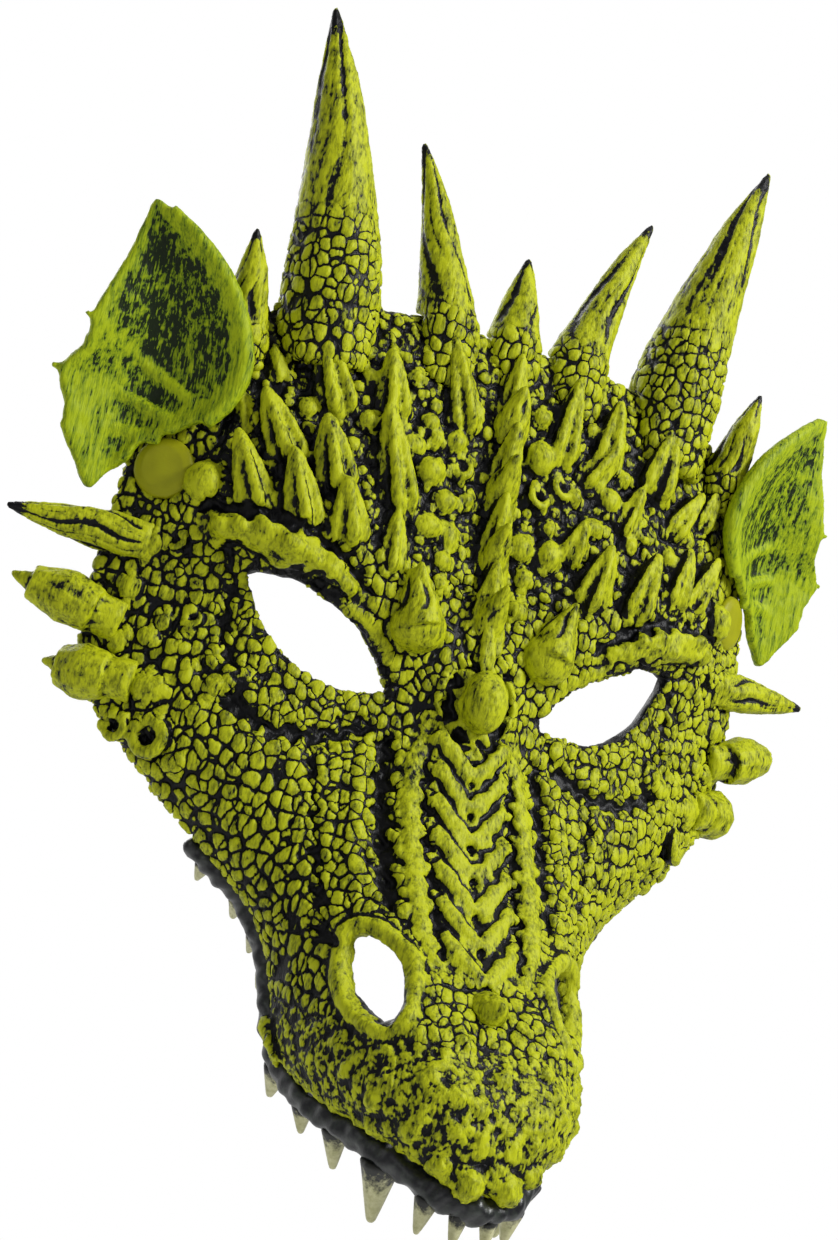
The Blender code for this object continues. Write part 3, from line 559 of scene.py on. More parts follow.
def relief_group(size):
    """Geometry nodes that raise a domed scale in each cell of a Voronoi pattern, "scale_depth" high."""
    tree = bpy.data.node_groups.new("scale relief", "GeometryNodeTree")
    tree.interface.new_socket("Geometry", in_out="INPUT", socket_type="NodeSocketGeometry")
    tree.interface.new_socket("Geometry", in_out="OUTPUT", socket_type="NodeSocketGeometry")
    start = add_node(tree, "NodeGroupInput")
    rest = add_node(tree, "GeometryNodeInputNamedAttribute", {"Name": "rest"}, data_type="FLOAT_VECTOR")
    depth = add_node(tree, "GeometryNodeInputNamedAttribute", {"Name": "scale_depth"}, data_type="FLOAT")
    dome = scale_dome(tree, rest.outputs["Attribute"], size)
    height = add_node(tree, "ShaderNodeMath", {0: dome, 1: depth.outputs["Attribute"]}, operation="MULTIPLY")
    normal = add_node(tree, "GeometryNodeInputNormal")
    rough = add_node(tree, "GeometryNodeInputNamedAttribute", {"Name": "rough_depth"}, data_type="FLOAT")
    pits = add_node(tree, "ShaderNodeTexNoise", {"Vector": rest.outputs["Attribute"], "Scale": 1 / (3.4 * MM),
                    "Detail": 3.0, "Roughness": 0.7})
    pit_part = add_node(tree, "ShaderNodeMath", {0: pits.outputs["Fac"], 1: 0.5}, operation="SUBTRACT")
    total = add_node(tree, "ShaderNodeMath", {0: pit_part.outputs[0], 1: rough.outputs["Attribute"],
                     2: height.outputs[0]}, operation="MULTIPLY_ADD")
    push = add_node(tree, "ShaderNodeVectorMath", {0: normal.outputs["Normal"], "Scale": total.outputs[0]},
                    operation="SCALE")
    moved = add_node(tree, "GeometryNodeSetPosition", {"Geometry": start.outputs[0],
                     "Offset": push.outputs[0]})
    add_node(tree, "NodeGroupOutput", {0: moved.outputs[0]})
    return tree


scale_relief = relief_group(SCALE_SIZE)


def raise_scales(obj, depth, rough=1.0 * MM):
    """Stores where each point lies at rest, then raises the scales and roughens the skin, in metres."""
    write_attribute(obj.data, "rest", read_points(obj.data))
    write_attribute(obj.data, "rough_depth", rough * np.ones(len(obj.data.vertices)))
    write_attribute(obj.data, "scale_depth", depth)
    apply_modifier(obj, "NODES", node_group=scale_relief)


def store_relief(obj, paint_and_shade):
    """Stores what the dry brush meets: the height over the smoothed form (mm), and how much paint each point
    takes, painted shade included.
    """
    mesh = obj.data
    points = read_points(mesh)
    normals = read_points(mesh, "normals")
    tight = faired(mesh, points, 3)
    paint_and_shade = paint_and_shade + 2.2 * np.clip(((points - tight) * normals).sum(1) / MM, -0.3, 0.15)
    fine = faired(mesh, tight, 7)
    broad = faired(mesh, fine, 50)
    write_attribute(mesh, "fine_relief", ((points - fine) * normals).sum(1) / MM)
    write_attribute(mesh, "broad_relief", ((fine - broad) * normals).sum(1) / MM)
    write_attribute(mesh, "paint_and_shade", paint_and_shade)
    mesh.shade_smooth()


mesh = face.data
points = read_points(mesh)
normals = read_points(mesh, "normals")
points = faired(mesh, points, 2)
px, py, pz = (points / MM).T
ax = np.abs(px)
centre = np.stack([np.zeros(len(points)), np.full(len(points), FACE_CENTRE_BACK * MM), points[:, 2] * 0.6],
                  axis=1)
outward = points - centre
outward /= np.linalg.norm(outward, axis=1)[:, None]
facing = (normals * outward).sum(1)

# Valleys: lines of (across, up), their half width and depth (mm).
VALLEYS = (
    (((24.5, -14), (26, -32), (25.5, -56)), 4.6, 2.8),
    (((46, -20), (43, -42), (39.5, -72)), 2.2, 1.6),
    (((13.8, -18), (13.6, -40), (12.4, -68)), 1.8, 1.4),
    (((70, -13), (57, -18), (44, -17), (31, -12)), 4.4, 2.2),
    (((60, 27.4), (52, 25.2), (44, 22)), 1.6, 1.5),
    (((86, 40), (72, 40.5), (58, 38.5), (46, 33), (38, 26)), 2.6, 1.5),
    (((78, 30), (73, 20), (74, 6), (66, -12)), 3.0, 1.2),
    (((3, -10), (7.8, -6), (8.8, 2), (7.6, 10), (4, 13)), 3.2, 2.4),
)
CHEVRON_GROOVES = tuple((((0, z), (5, z + 4.5), (11.5, z + 11.5)), 1.3, 1.0) for z in
                        (CHEVRON_TOP - 2.5 - CHEVRON_PITCH * step for step in range(CHEVRON_BARS)))
wobble = np.stack([np.sin(px * 0.9 + pz * 0.7) + np.sin(pz * 1.3 + 2), np.zeros(len(points)),
                   np.sin(px * 1.1 - pz * 0.4) + np.sin(px * 0.6 + pz * 0.9)], axis=1) * 0.75 * MM
in_plan = points * np.array((1.0, 0.0, 1.0))
valley = np.zeros(len(points))
for line, width, depth in VALLEYS + CHEVRON_GROOVES:
    for side in (-1, 1):
        drawn = [(side * x * MM, 0.0, z * MM) for x, z in line]
        part = near_line(in_plan + wobble * (1 if width > 1.5 else 0.4), drawn, width * MM)
        part *= smooth_step(facing, 0.0, 0.2)
        valley = np.maximum(valley, part)
        points -= normals * (part * depth * MM)[:, None]
hollow = np.zeros(len(points))
for place, radius in hollows:
    distance = np.linalg.norm(points - np.array(place), axis=1)
    part = smooth_step(-distance, -radius * 1.3 * MM, -radius * 0.5 * MM)
    hollow = np.maximum(hollow, part)

forehead = smooth_step(pz, 34, 42) * smooth_step(-ax, -92, -84)
midline = smooth_step(-ax, -13, -9) * smooth_step(-pz, -14, -6) * smooth_step(pz, -76, -68)
snout = smooth_step(-pz, 84, 94)
brow_line = [[on_skin(side * x, z)[0] for x, z, _ in BROW] for side in (-1, 1)]
brow = np.maximum(near_line(points, brow_line[0], 9 * MM), near_line(points, brow_line[1], 9 * MM))
ring_lines = [nostril_ring(side, 2.6, 0) for side in (-1, 1)]
nostril = np.maximum(*[near_line(points, ring + ring[:1], 5.5 * MM) for ring in ring_lines])
fold_lines = [[on_skin(side * x, z)[0] for x, z, _ in MUZZLE_FOLD] for side in (-1, 1)]
fold = np.maximum(*[near_line(points, line, 6 * MM) for line in fold_lines])
proud = np.array([skin_tree.find_nearest(point)[3] for point in map(Vector, points)]) / MM
front = smooth_step(facing, 0.05, 0.35)
on_lump = smooth_step(proud, 0.9, 2.0)
on_brow = smooth_step(brow, 0.2, 0.6)
scale_depth = 1.0 - 0.3 * forehead - 0.9 * on_lump - 1.0 * midline - 0.85 * snout - 0.85 * on_brow
scale_depth -= 1.0 * smooth_step(nostril, 0.1, 0.5) + 0.8 * smooth_step(fold, 0.1, 0.5)
scale_depth = np.clip(scale_depth, 0.0, 1.0) * (1 - 0.8 * valley) * front
write_points(mesh, points)
rough_depth = 1.3 + 2.2 * snout + 0.8 * on_brow + 0.8 * fold
raise_scales(face, scale_depth * 1.0 * MM, rough_depth * MM)

EYE_OUTLINE = [(s, EYE_UPPER_SAG) for s in np.linspace(0, 1, 12)]
EYE_OUTLINE += [(s, -EYE_LOWER_SAG) for s in np.linspace(1, 0, 12)]
eye_rim = np.zeros(len(points))
for side in (-1, 1):
    outline = []
    for share, sag in EYE_OUTLINE:
        edge = eye_edge(float(share), sag, 0.3)
        outline.append(on_skin(side * edge.x, edge.y)[0])
    eye_rim = np.maximum(eye_rim, near_line(points, outline, 4 * MM))
outer_rim = smooth_step(py, 19, 26) * smooth_step(-pz, -95, -60)
# Faces turned towards the key light take more paint and faces turned away take less: partly the brush's
# direction, partly painted shade on the side away from the key light.
BRUSH_AND_LIGHT_FROM = np.array((0.72, -0.35, 0.2))
brushed_and_lit = normals @ BRUSH_AND_LIGHT_FROM
paint_and_shade = 0.63 + 0.4 * brushed_and_lit
paint_and_shade += 0.36 * midline + 0.2 * smooth_step(brow, 0.3, 0.7)
paint_and_shade += 0.25 * smooth_step(nostril, 0.2, 0.5) + 0.25 * fold
paint_and_shade += forehead * (-0.85 + 1.0 * smooth_step(proud, 0.6, 2.4) + 0.8 * brushed_and_lit)
muzzle_flank = smooth_step(ax, 34, 42) * smooth_step(-pz, 40, 60)
paint_and_shade -= 0.2 * muzzle_flank + 0.15 * snout
paint_and_shade -= 1.3 * valley + 2.2 * hollow + 1.8 * smooth_step(eye_rim, 0.35, 0.7) + 0.9 * outer_rim
paint_and_shade -= 3.0 * (1 - smooth_step(facing, -0.05, 0.25))
store_relief(face, paint_and_shade)

# The smooth lining needs few faces, so it is thinned once its place is known.
LINING_FACING = -0.35
FACES_KEPT = 0.6
lining = face.vertex_groups.new(name="lining")
back_points = np.nonzero(facing < LINING_FACING)[0]
lining.add([int(i) for i in back_points], 1.0, "REPLACE")


def foam_paint(name, lime_hex, thin_and_shaded_hex, black_hex, scale_size, streak=(1.0, 1.0, 0.35)):
    """Black foam with dry-brushed paint.

    Polyurethane foam skins over smooth in the mould, so the black is satin. The brush is nearly dry, so the
    paint catches what stands proud, drags out along the strokes, breaks up into specks at its edge, and
    misses each groove round a scale. Painted shade rides on the same mix: broad hollows and faces turned from
    the key light get less paint and more of the darker, shaded lime.
    """
    material, tree, shader = new_material(name)
    rest = add_node(tree, "ShaderNodeAttribute", attribute_name="rest")
    fine = add_node(tree, "ShaderNodeAttribute", attribute_name="fine_relief")
    broad = add_node(tree, "ShaderNodeAttribute", attribute_name="broad_relief")
    paint_and_shade_at = add_node(tree, "ShaderNodeAttribute", attribute_name="paint_and_shade")
    depth = add_node(tree, "ShaderNodeAttribute", attribute_name="scale_depth")
    dome = scale_dome(tree, rest.outputs["Vector"], scale_size)
    groove = add_node(tree, "ShaderNodeMapRange", {"Value": dome, "From Min": 0.02, "From Max": 0.2,
                      "To Min": 1.0, "To Max": 0.0})
    groove_here = add_node(tree, "ShaderNodeMath", {0: depth.outputs["Fac"], 1: 1 / MM},
                           operation="MULTIPLY")
    outline = add_node(tree, "ShaderNodeMath", {0: groove.outputs["Result"], 1: groove_here.outputs[0]},
                       operation="MULTIPLY")
    strokes = add_node(tree, "ShaderNodeVectorMath", {0: rest.outputs["Vector"], 1: streak},
                       operation="MULTIPLY")
    total = paint_and_shade_at.outputs["Fac"]
    # The fine relief is where the dry brush catches; the broad relief adds painted shade, darker in the wide
    # hollows and lighter on the broad tops.
    for height, share in ((fine, 1.4), (broad, 0.9)):
        total = add_node(tree, "ShaderNodeMath", {0: height.outputs["Fac"], 1: share, 2: total},
                         operation="MULTIPLY_ADD").outputs[0]
    total = add_node(tree, "ShaderNodeMath", {0: total, 1: 0.78}, operation="MINIMUM").outputs[0]
    total = add_node(tree, "ShaderNodeMath", {0: outline.outputs[0], 1: -0.75, 2: total},
                     operation="MULTIPLY_ADD").outputs[0]
    for size, share in ((0.75 * MM, 1.8), (2.2 * MM, 2.2), (10 * MM, 0.8)):
        noise = add_node(tree, "ShaderNodeTexNoise", {"Vector": strokes.outputs[0], "Scale": 1 / size,
                         "Detail": 3.0, "Roughness": 0.6})
        part = add_node(tree, "ShaderNodeMath", {0: noise.outputs["Fac"], 1: 0.5}, operation="SUBTRACT")
        total = add_node(tree, "ShaderNodeMath", {0: part.outputs[0], 1: share, 2: total},
                         operation="MULTIPLY_ADD").outputs[0]
    painted = add_node(tree, "ShaderNodeMapRange", {"Value": total, "From Min": 0.2, "From Max": 0.32})
    # From the darker lime to the full lime: thicker paint, and also less painted shade.
    thick = add_node(tree, "ShaderNodeMapRange", {"Value": total, "From Min": 0.2, "From Max": 0.95})
    paint = add_node(tree, "ShaderNodeMix", {0: thick.outputs["Result"], 6: linear(thin_and_shaded_hex),
                     7: linear(lime_hex)}, data_type="RGBA")
    colour = add_node(tree, "ShaderNodeMix", {0: painted.outputs["Result"], 6: linear(black_hex),
                      7: paint.outputs[2]}, data_type="RGBA")
    tree.links.new(colour.outputs[2], shader.inputs["Base Color"])
    gloss = add_node(tree, "ShaderNodeMapRange", {"Value": painted.outputs["Result"], "To Min": 0.42,
                     "To Max": 0.52})
    tree.links.new(gloss.outputs["Result"], shader.inputs["Roughness"])
    grain = add_node(tree, "ShaderNodeTexNoise", {"Vector": strokes.outputs[0], "Scale": 1 / (0.9 * MM),
                     "Detail": 3.0, "Roughness": 0.6})
    grain_bump = add_node(tree, "ShaderNodeBump", {"Height": grain.outputs["Fac"], "Strength": 0.6,
                          "Distance": 0.5 * MM})
    edge_bump = add_node(tree, "ShaderNodeBump", {"Height": painted.outputs["Result"], "Strength": 0.6,
                         "Distance": 0.18 * MM, "Normal": grain_bump.outputs[0]})
    groove_bump = add_node(tree, "ShaderNodeBump", {"Height": outline.outputs[0], "Strength": 0.7,
                           "Distance": 0.5 * MM, "Normal": edge_bump.outputs[0]}, invert=True)
    tree.links.new(groove_bump.outputs[0], shader.inputs["Normal"])
    shader.inputs["Specular IOR Level"].default_value = 0.22
    shader.inputs["IOR"].default_value = 1.47
    return material


# The darker lime stands for thin paint over the black, and also for painted shade on the lime in hollows and
# on faces turned from the key light.
LIME = "#b6bd14"
LIME_THIN_AND_SHADED = "#525a08"
FOAM_BLACK = "#040508"
lime_paint = foam_paint("lime paint dry-brushed on black polyurethane foam", LIME, LIME_THIN_AND_SHADED, FOAM_BLACK,
                        SCALE_SIZE)
apply_modifier(face, "DECIMATE", ratio=FACES_KEPT, vertex_group="lining", use_collapse_triangulate=True)
face.data.materials.append(lime_paint)
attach(face, "mask")
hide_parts("face_shell")


# The horns, spikes and knobs: foam pieces moulded apart and seated on the face. A horn has cobbled scales
# round its foot, long furrows to its tip, and the tip is left black.
OUTWARD_FROM = Vector((0, 60, 20)) * MM


def along_and_around(points, reach_from):
    """For each point of a tapering piece: share of the way to the tip, angle and distance about its middle."""
    middle = points.mean(0)
    _, _, axes = np.linalg.svd(points - middle, full_matrices=False)
    axis = axes[0]
    if axis @ (middle - np.array(reach_from)) < 0:
        axis = -axis
    along = (points - middle) @ axis
    share = (along - along.min()) / (along.max() - along.min())
    line = np.stack([np.polyval(np.polyfit(share, points[:, k], 3), share) for k in range(3)], axis=1)
    side = np.cross(axis, [0.0, 1.0, 0.0] if abs(axis[1]) < 0.8 else [0.0, 0.0, 1.0])
    side /= np.linalg.norm(side)
    other = np.cross(axis, side)
    away = points - line
    return share, np.arctan2(away @ other, away @ side), np.linalg.norm(away, axis=1)


def foam_piece(node, voxel, furrows, scaly_to, seed, black_tip=0.93, furrow_depth=0.9, extras=(),
               furrows_from=0.0, cover_base=0.68):
    """A moulded piece over its CAD node: scales up to a share of its length, then long furrows."""
    piece = copy_of_node(node, node + "_foam")
    apply_modifier(piece, "SUBSURF", levels=1, render_levels=1)
    piece = join(node + "_foam", [piece, *extras])
    apply_modifier(piece, "REMESH", mode="VOXEL", voxel_size=voxel)
    mesh = piece.data
    points = faired(mesh, read_points(mesh), 3)
    write_points(mesh, points)
    normals = read_points(mesh, "normals")
    share, angle, radius = along_and_around(points, OUTWARD_FROM)
    draw = np.random.default_rng(seed)
    wobble = 0.35 * np.sin(5 * share + draw.uniform(0, 6)) + 0.15 * np.sin(13 * share + draw.uniform(0, 6))
    window = smooth_step(share, max(scaly_to - 0.08, furrows_from), max(scaly_to + 0.12, furrows_from + 0.1))
    window *= 1 - smooth_step(share, 0.96, 1.0)
    cut_in = np.zeros(len(points))
    for count, weight in ((furrows, 1.0), (furrows * 2 + 1, 0.35), (furrows * 4 + 3, 0.15)):
        wave = 0.5 + 0.5 * np.cos(count * (angle + wobble) + draw.uniform(0, 6))
        fade = 0.6 + 0.4 * np.sin(9 * share + count + draw.uniform(0, 6))
        cut_in += weight * wave ** 5 * fade
    thin = np.clip(radius / (4 * MM), 0.25, 1)
    points -= normals * (cut_in * window * furrow_depth * MM * thin)[:, None]
    write_points(mesh, points)
    scaly = 1 - smooth_step(share, scaly_to - 0.1, scaly_to + 0.08) if scaly_to > 0 else np.zeros(len(points))
    raise_scales(piece, scaly * 0.9 * MM)
    # Faces turned towards the key light take more paint: partly the brush's direction, partly painted shade on
    # the side away from the light.
    cover_base = cover_base + 0.5 * (normals @ BRUSH_AND_LIGHT_FROM)
    paint_and_shade = cover_base - 0.1 * scaly - 2.0 * smooth_step(share, black_tip - 0.05, black_tip + 0.03)
    paint_and_shade -= 1.3 * cut_in.clip(0, 1) * window * min(furrow_depth, 1.0)
    paint_and_shade -= 1.5 * smooth_step(normals[:, 1], 0.3, 0.8)
    store_relief(piece, paint_and_shade)
    piece.data.materials.append(lime_paint)
    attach(piece, "mask")
    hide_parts(node)


SIDES = (("left", 1), ("right", -1))
foam_piece("horn_center", 0.6 * MM, 4, 0.45, 3)
for side_name, side in SIDES:
    foam_piece(f"horn_big_{side_name}", 0.75 * MM, 5, 0.42, 5 + side)
    foam_piece(f"horn_mid_{side_name}", 0.65 * MM, 4, 0.32, 8 + side)
    foam_piece(f"horn_outer_{side_name}", 0.6 * MM, 4, 0.3, 11 + side)
    foam_piece(f"cheek_spike_{side_name}_1", 0.55 * MM, 4, 0.0, 20 + side, black_tip=0.9, furrow_depth=1.3)
    blunt = [rope([Vector((side * x, y, z)) * MM for x, y, z in line], radii) for line, radii in (
        (((107, 22, 4), (115, 25.5, 6.5), (125, 29, 8.5)), (7, 8.2, 5.2)),
        (((100, 19, -13), (106, 23.5, -13), (112, 28, -12.5)), (7, 8.5, 6)))]
    foam_piece(f"cheek_spike_{side_name}_2", 0.55 * MM, 3, 0.0, 24 + side, black_tip=1.1, furrow_depth=0.4,
               extras=blunt[:1])
    foam_piece(f"cheek_spike_{side_name}_3", 0.55 * MM, 3, 0.0, 28 + side, black_tip=1.1, furrow_depth=0.2,
               extras=blunt[1:])
    belly, belly_normal = on_skin(side * 21.5, 19.5, 0.5)
    shoulder, _ = on_skin(side * 23.5, 27, 1.5)
    crown, _ = on_skin(side * 27, 35, 3)
    drop = [stamp(bead, belly, belly_normal, (8.6, 7.6, 7.0)),
            rope([belly + belly_normal * 2.2 * MM, shoulder, crown], [7.0, 6.2, 1.8])]
    foam_piece(f"brow_drop_{side_name}", 0.55 * MM, 5, 0.0, 31 + side, black_tip=1.1, furrow_depth=0.7,
               extras=drop, furrows_from=0.45)
for number in range(1, 5):
    foam_piece(f"ridge_spike_{number}", 0.55 * MM, 3, 0.0, 40 + number, black_tip=1.1, furrow_depth=0.5)
knob_place, knob_normal = on_skin(0, 2, 2.5)
foam_piece("nose_knob", 0.5 * MM, 2, 0.0, 50, black_tip=1.1, furrow_depth=0.2,
           extras=[stamp(bead, knob_place, knob_normal, (6.8, 9.4, 6.8))], cover_base=1.0)
foam_piece("snout_knob", 0.5 * MM, 3, 0.0, 51, black_tip=1.1, furrow_depth=0.3)


# The ear fins: thin cupped webs of foam with three ribs and a rolled inner edge, painted leaf green and lime
# over black. The brush runs along the ribs, which take more paint; the cup is darker with painted shade,
# most on the right ear, which faces away from the key light.
EAR_INNER_EDGE = ((113, 15, 119, 1.6), (104, 11, 112, 2.2), (93, 9, 101, 2.6), (87, 9, 90, 2.8),
                  (84, 9, 79, 2.8), (86, 10, 70, 2.6), (91, 12, 62, 2.3))
EAR_RIBS = (
    ((92, 14, 66, 1.4), (108, 24, 76, 1.6), (122, 23, 83, 1.3), (129, 21, 85, 0.9)),
    ((96, 17, 60, 1.5), (112, 26, 66, 1.8), (126, 27, 69, 1.4), (134, 27, 69, 0.9)),
    ((100, 20, 55, 1.5), (112, 26, 56, 1.7), (122, 26.5, 54, 1.3), (128, 26, 53, 0.9)),
)


def sided(point, side):
    return Vector((point[0] * side, point[1], point[2])) * MM


# Its darker green is thin paint and also painted shade, as with the lime.
ear_paint = foam_paint("leaf green and lime paint on black polyurethane foam", "#a3b40e", "#4d6b0c",
                       "#16220a", SCALE_SIZE, streak=(1.5, 1.5, 0.22))
for side_name, side in SIDES:
    extras = [rope([sided(p, side) for p in EAR_INNER_EDGE], [p[3] for p in EAR_INNER_EDGE])]
    for rib in EAR_RIBS:
        extras.append(rope([sided(p, side) for p in rib], [p[3] for p in rib]))
    fin = join(f"ear_fin_{side_name}_foam", [copy_of_node(f"ear_fin_{side_name}", "fin"), *extras])
    apply_modifier(fin, "REMESH", mode="VOXEL", voxel_size=0.75 * MM)
    mesh = fin.data
    points = faired(mesh, read_points(mesh), 5)
    write_points(mesh, points)
    normals = read_points(mesh, "normals")
    inner_edge = near_line(points, [sided(p, side) for p in EAR_INNER_EDGE], 7 * MM)
    ribs = np.max([near_line(points, [sided(p, side) for p in rib], 4.5 * MM) for rib in EAR_RIBS], axis=0)
    fx = np.abs(points[:, 0] / MM)
    fz = points[:, 2] / MM
    shaded_cup_hollow = smooth_step(fz - 0.25 * (fx - 84), 66, 80) * (1 - smooth_step(fz, 112, 120))
    raise_scales(fin, np.zeros(len(points)))
    lower = 1 - smooth_step(fz, 58, 74)
    # The right ear takes less paint and its cup more painted shade, as it faces away from the key light.
    paint_and_shade = (0.6 if side > 0 else 0.55) + 0.7 * smooth_step(inner_edge, 0.3, 0.7) + 0.4 * ribs + 0.3 * lower
    paint_and_shade -= (0.1 if side > 0 else 0.24) * shaded_cup_hollow
    paint_and_shade -= 2.0 * smooth_step(normals[:, 1], 0.2, 0.7)
    store_relief(fin, paint_and_shade)
    fin.data.materials.append(ear_paint)
    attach(fin, "mask")
    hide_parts(f"ear_fin_{side_name}")


# The gum: a roll of black foam along the free edge of the jaw, glossy where the skin of the mould is whole.
GUM_SWELL = 1.0
GUM_LUMP = 0.22
gum = copy_of_node("gum", "gum_roll")
apply_modifier(gum, "REMESH", mode="VOXEL", voxel_size=0.8 * MM)
points = faired(gum.data, read_points(gum.data), 6)
write_points(gum.data, points)
normals = read_points(gum.data, "normals")
lumps = sum(np.sin(points @ np.array(way) / MM + phase) for way, phase in
            (((0.9, 0.4, 0.2), 0.3), ((-0.5, 0.8, 0.6), 1.7), ((0.3, -0.7, 1.1), 4.0),
             ((1.4, 0.6, -0.9), 2.2)))
points += normals * ((GUM_SWELL + lumps * GUM_LUMP) * MM)[:, None]
write_points(gum.data, points)
gum.data.shade_smooth()
gum_paint, gum_tree, gum_shader = new_material("black satin skin of polyurethane foam")
where = add_node(gum_tree, "ShaderNodeTexCoord")
gum_noise = add_node(gum_tree, "ShaderNodeTexNoise", {"Vector": where.outputs["Object"],
                     "Scale": 1 / (3 * MM), "Detail": 4.0, "Roughness": 0.6})
gum_tint = add_node(gum_tree, "ShaderNodeMapRange", {"Value": gum_noise.outputs["Fac"], "From Min": 0.45,
                    "From Max": 0.75})
gum_colour = add_node(gum_tree, "ShaderNodeMix", {0: gum_tint.outputs[0], 6: linear("#0c0e12"),
                      7: linear("#343a34")}, data_type="RGBA")
gum_tree.links.new(gum_colour.outputs[2], gum_shader.inputs["Base Color"])
gum_bump = add_node(gum_tree, "ShaderNodeBump", {"Height": gum_noise.outputs["Fac"], "Strength": 0.5,
                    "Distance": 0.5 * MM})
gum_tree.links.new(gum_bump.outputs[0], gum_shader.inputs["Normal"])
gum_shader.inputs["Roughness"].default_value = 0.34
gum.data.materials.append(gum_paint)
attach(gum, "mask")
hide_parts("gum")


# The teeth: foam cones in the same mould as the gum, painted ivory by hand, with black left at their roots.
ivory, ivory_tree, ivory_shader = new_material("ivory acrylic paint on polyurethane foam")
root_at = add_node(ivory_tree, "ShaderNodeAttribute", attribute_name="tooth_share")
where = add_node(ivory_tree, "ShaderNodeTexCoord")
stain = add_node(ivory_tree, "ShaderNodeTexNoise", {"Vector": where.outputs["Object"],
                 "Scale": 1 / (2.2 * MM), "Detail": 4.0, "Roughness": 0.65})
stain_part = add_node(ivory_tree, "ShaderNodeMath", {0: stain.outputs["Fac"], 1: 0.9,
                      2: root_at.outputs["Fac"]}, operation="MULTIPLY_ADD")
clean = add_node(ivory_tree, "ShaderNodeMapRange", {"Value": stain_part.outputs[0], "From Min": 0.62,
                 "From Max": 0.86})
ivory_tone = add_node(ivory_tree, "ShaderNodeMapRange", {"Value": stain.outputs["Fac"], "From Min": 0.3,
                      "From Max": 0.7})
ivory_mix = add_node(ivory_tree, "ShaderNodeMix", {0: ivory_tone.outputs[0], 6: linear("#9c9b66"),
                     7: linear("#c9c79a")}, data_type="RGBA")
ivory_colour = add_node(ivory_tree, "ShaderNodeMix", {0: clean.outputs[0], 6: linear("#14150f"),
                        7: ivory_mix.outputs[2]}, data_type="RGBA")
ivory_tree.links.new(ivory_colour.outputs[2], ivory_shader.inputs["Base Color"])
ivory_bump = add_node(ivory_tree, "ShaderNodeBump", {"Height": stain.outputs["Fac"], "Strength": 0.4,
                      "Distance": 0.4 * MM})
ivory_tree.links.new(ivory_bump.outputs[0], ivory_shader.inputs["Normal"])
ivory_shader.inputs["Roughness"].default_value = 0.42
for side_name, side in SIDES:
    for number in range(1, 11):
        node = f"tooth_{side_name}_{number}"
        tooth = copy_of_node(node, node + "_painted")
        apply_modifier(tooth, "REMESH", mode="VOXEL", voxel_size=0.4 * MM)
        points = faired(tooth.data, read_points(tooth.data), 8)
        share, angle, radius = along_and_around(points, (0, 0, 0))
        write_points(tooth.data, points)
        normals = read_points(tooth.data, "normals")
        dent = (0.5 + 0.5 * np.cos(3 * angle + number)) ** 4 * (1 - share)
        points += normals * ((0.45 - 0.35 * dent) * MM)[:, None]
        write_points(tooth.data, points)
        write_attribute(tooth.data, "tooth_share", share)
        tooth.data.shade_smooth()
        tooth.data.materials.append(ivory)
        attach(tooth, "mask")
        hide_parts(node)


# The buttons: turned discs, sprayed with the same lime and left unbrushed, that cover the strap's rivets.
button_paint, button_tree, button_shader = new_material("olive lime lacquer on a moulded disc")
where = add_node(button_tree, "ShaderNodeTexCoord")
swirl = add_node(button_tree, "ShaderNodeTexNoise", {"Vector": where.outputs["Object"], "Scale": 1 / (6 * MM),
                 "Detail": 2.0})
button_mix = add_node(button_tree, "ShaderNodeMix", {0: swirl.outputs["Fac"], 6: linear("#8a8b04"),
                      7: linear("#a6a708")}, data_type="RGBA")
button_tree.links.new(button_mix.outputs[2], button_shader.inputs["Base Color"])
button_grain = add_node(button_tree, "ShaderNodeTexNoise", {"Vector": where.outputs["Object"],
                        "Scale": 1 / (0.8 * MM), "Detail": 2.0})
button_bump = add_node(button_tree, "ShaderNodeBump", {"Height": button_grain.outputs["Fac"], "Strength": 0.2,
                       "Distance": 0.2 * MM})
button_tree.links.new(button_bump.outputs[0], button_shader.inputs["Normal"])
button_shader.inputs["Roughness"].default_value = 0.5
button_shader.inputs["Specular IOR Level"].default_value = 0.25
for side_name, side in SIDES:
    button = copy_of_node(f"strap_button_{side_name}", f"strap_button_{side_name}_disc")
    apply_modifier(button, "REMESH", mode="VOXEL", voxel_size=0.35 * MM)
    write_points(button.data, faired(button.data, read_points(button.data), 5))
    button.data.shade_smooth()
    button.data.materials.append(button_paint)
    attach(button, "mask")
    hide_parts(f"strap_button_{side_name}")


# The fixings: bent black plastic tabs, and nickel plated rivets and studs.
plastic, plastic_tree, plastic_shader = new_material("black moulded polypropylene")
where = add_node(plastic_tree, "ShaderNodeTexCoord")
plastic_grain = add_node(plastic_tree, "ShaderNodeTexNoise", {"Vector": where.outputs["Object"],
                         "Scale": 1 / (0.7 * MM), "Detail": 2.0})
plastic_mix = add_node(plastic_tree, "ShaderNodeMix", {0: plastic_grain.outputs["Fac"], 6: linear("#151517"),
                       7: linear("#222225")}, data_type="RGBA")
plastic_tree.links.new(plastic_mix.outputs[2], plastic_shader.inputs["Base Color"])
plastic_bump = add_node(plastic_tree, "ShaderNodeBump", {"Height": plastic_grain.outputs["Fac"],
                        "Strength": 0.3, "Distance": 0.15 * MM})
plastic_tree.links.new(plastic_bump.outputs[0], plastic_shader.inputs["Normal"])
plastic_shader.inputs["Roughness"].default_value = 0.42

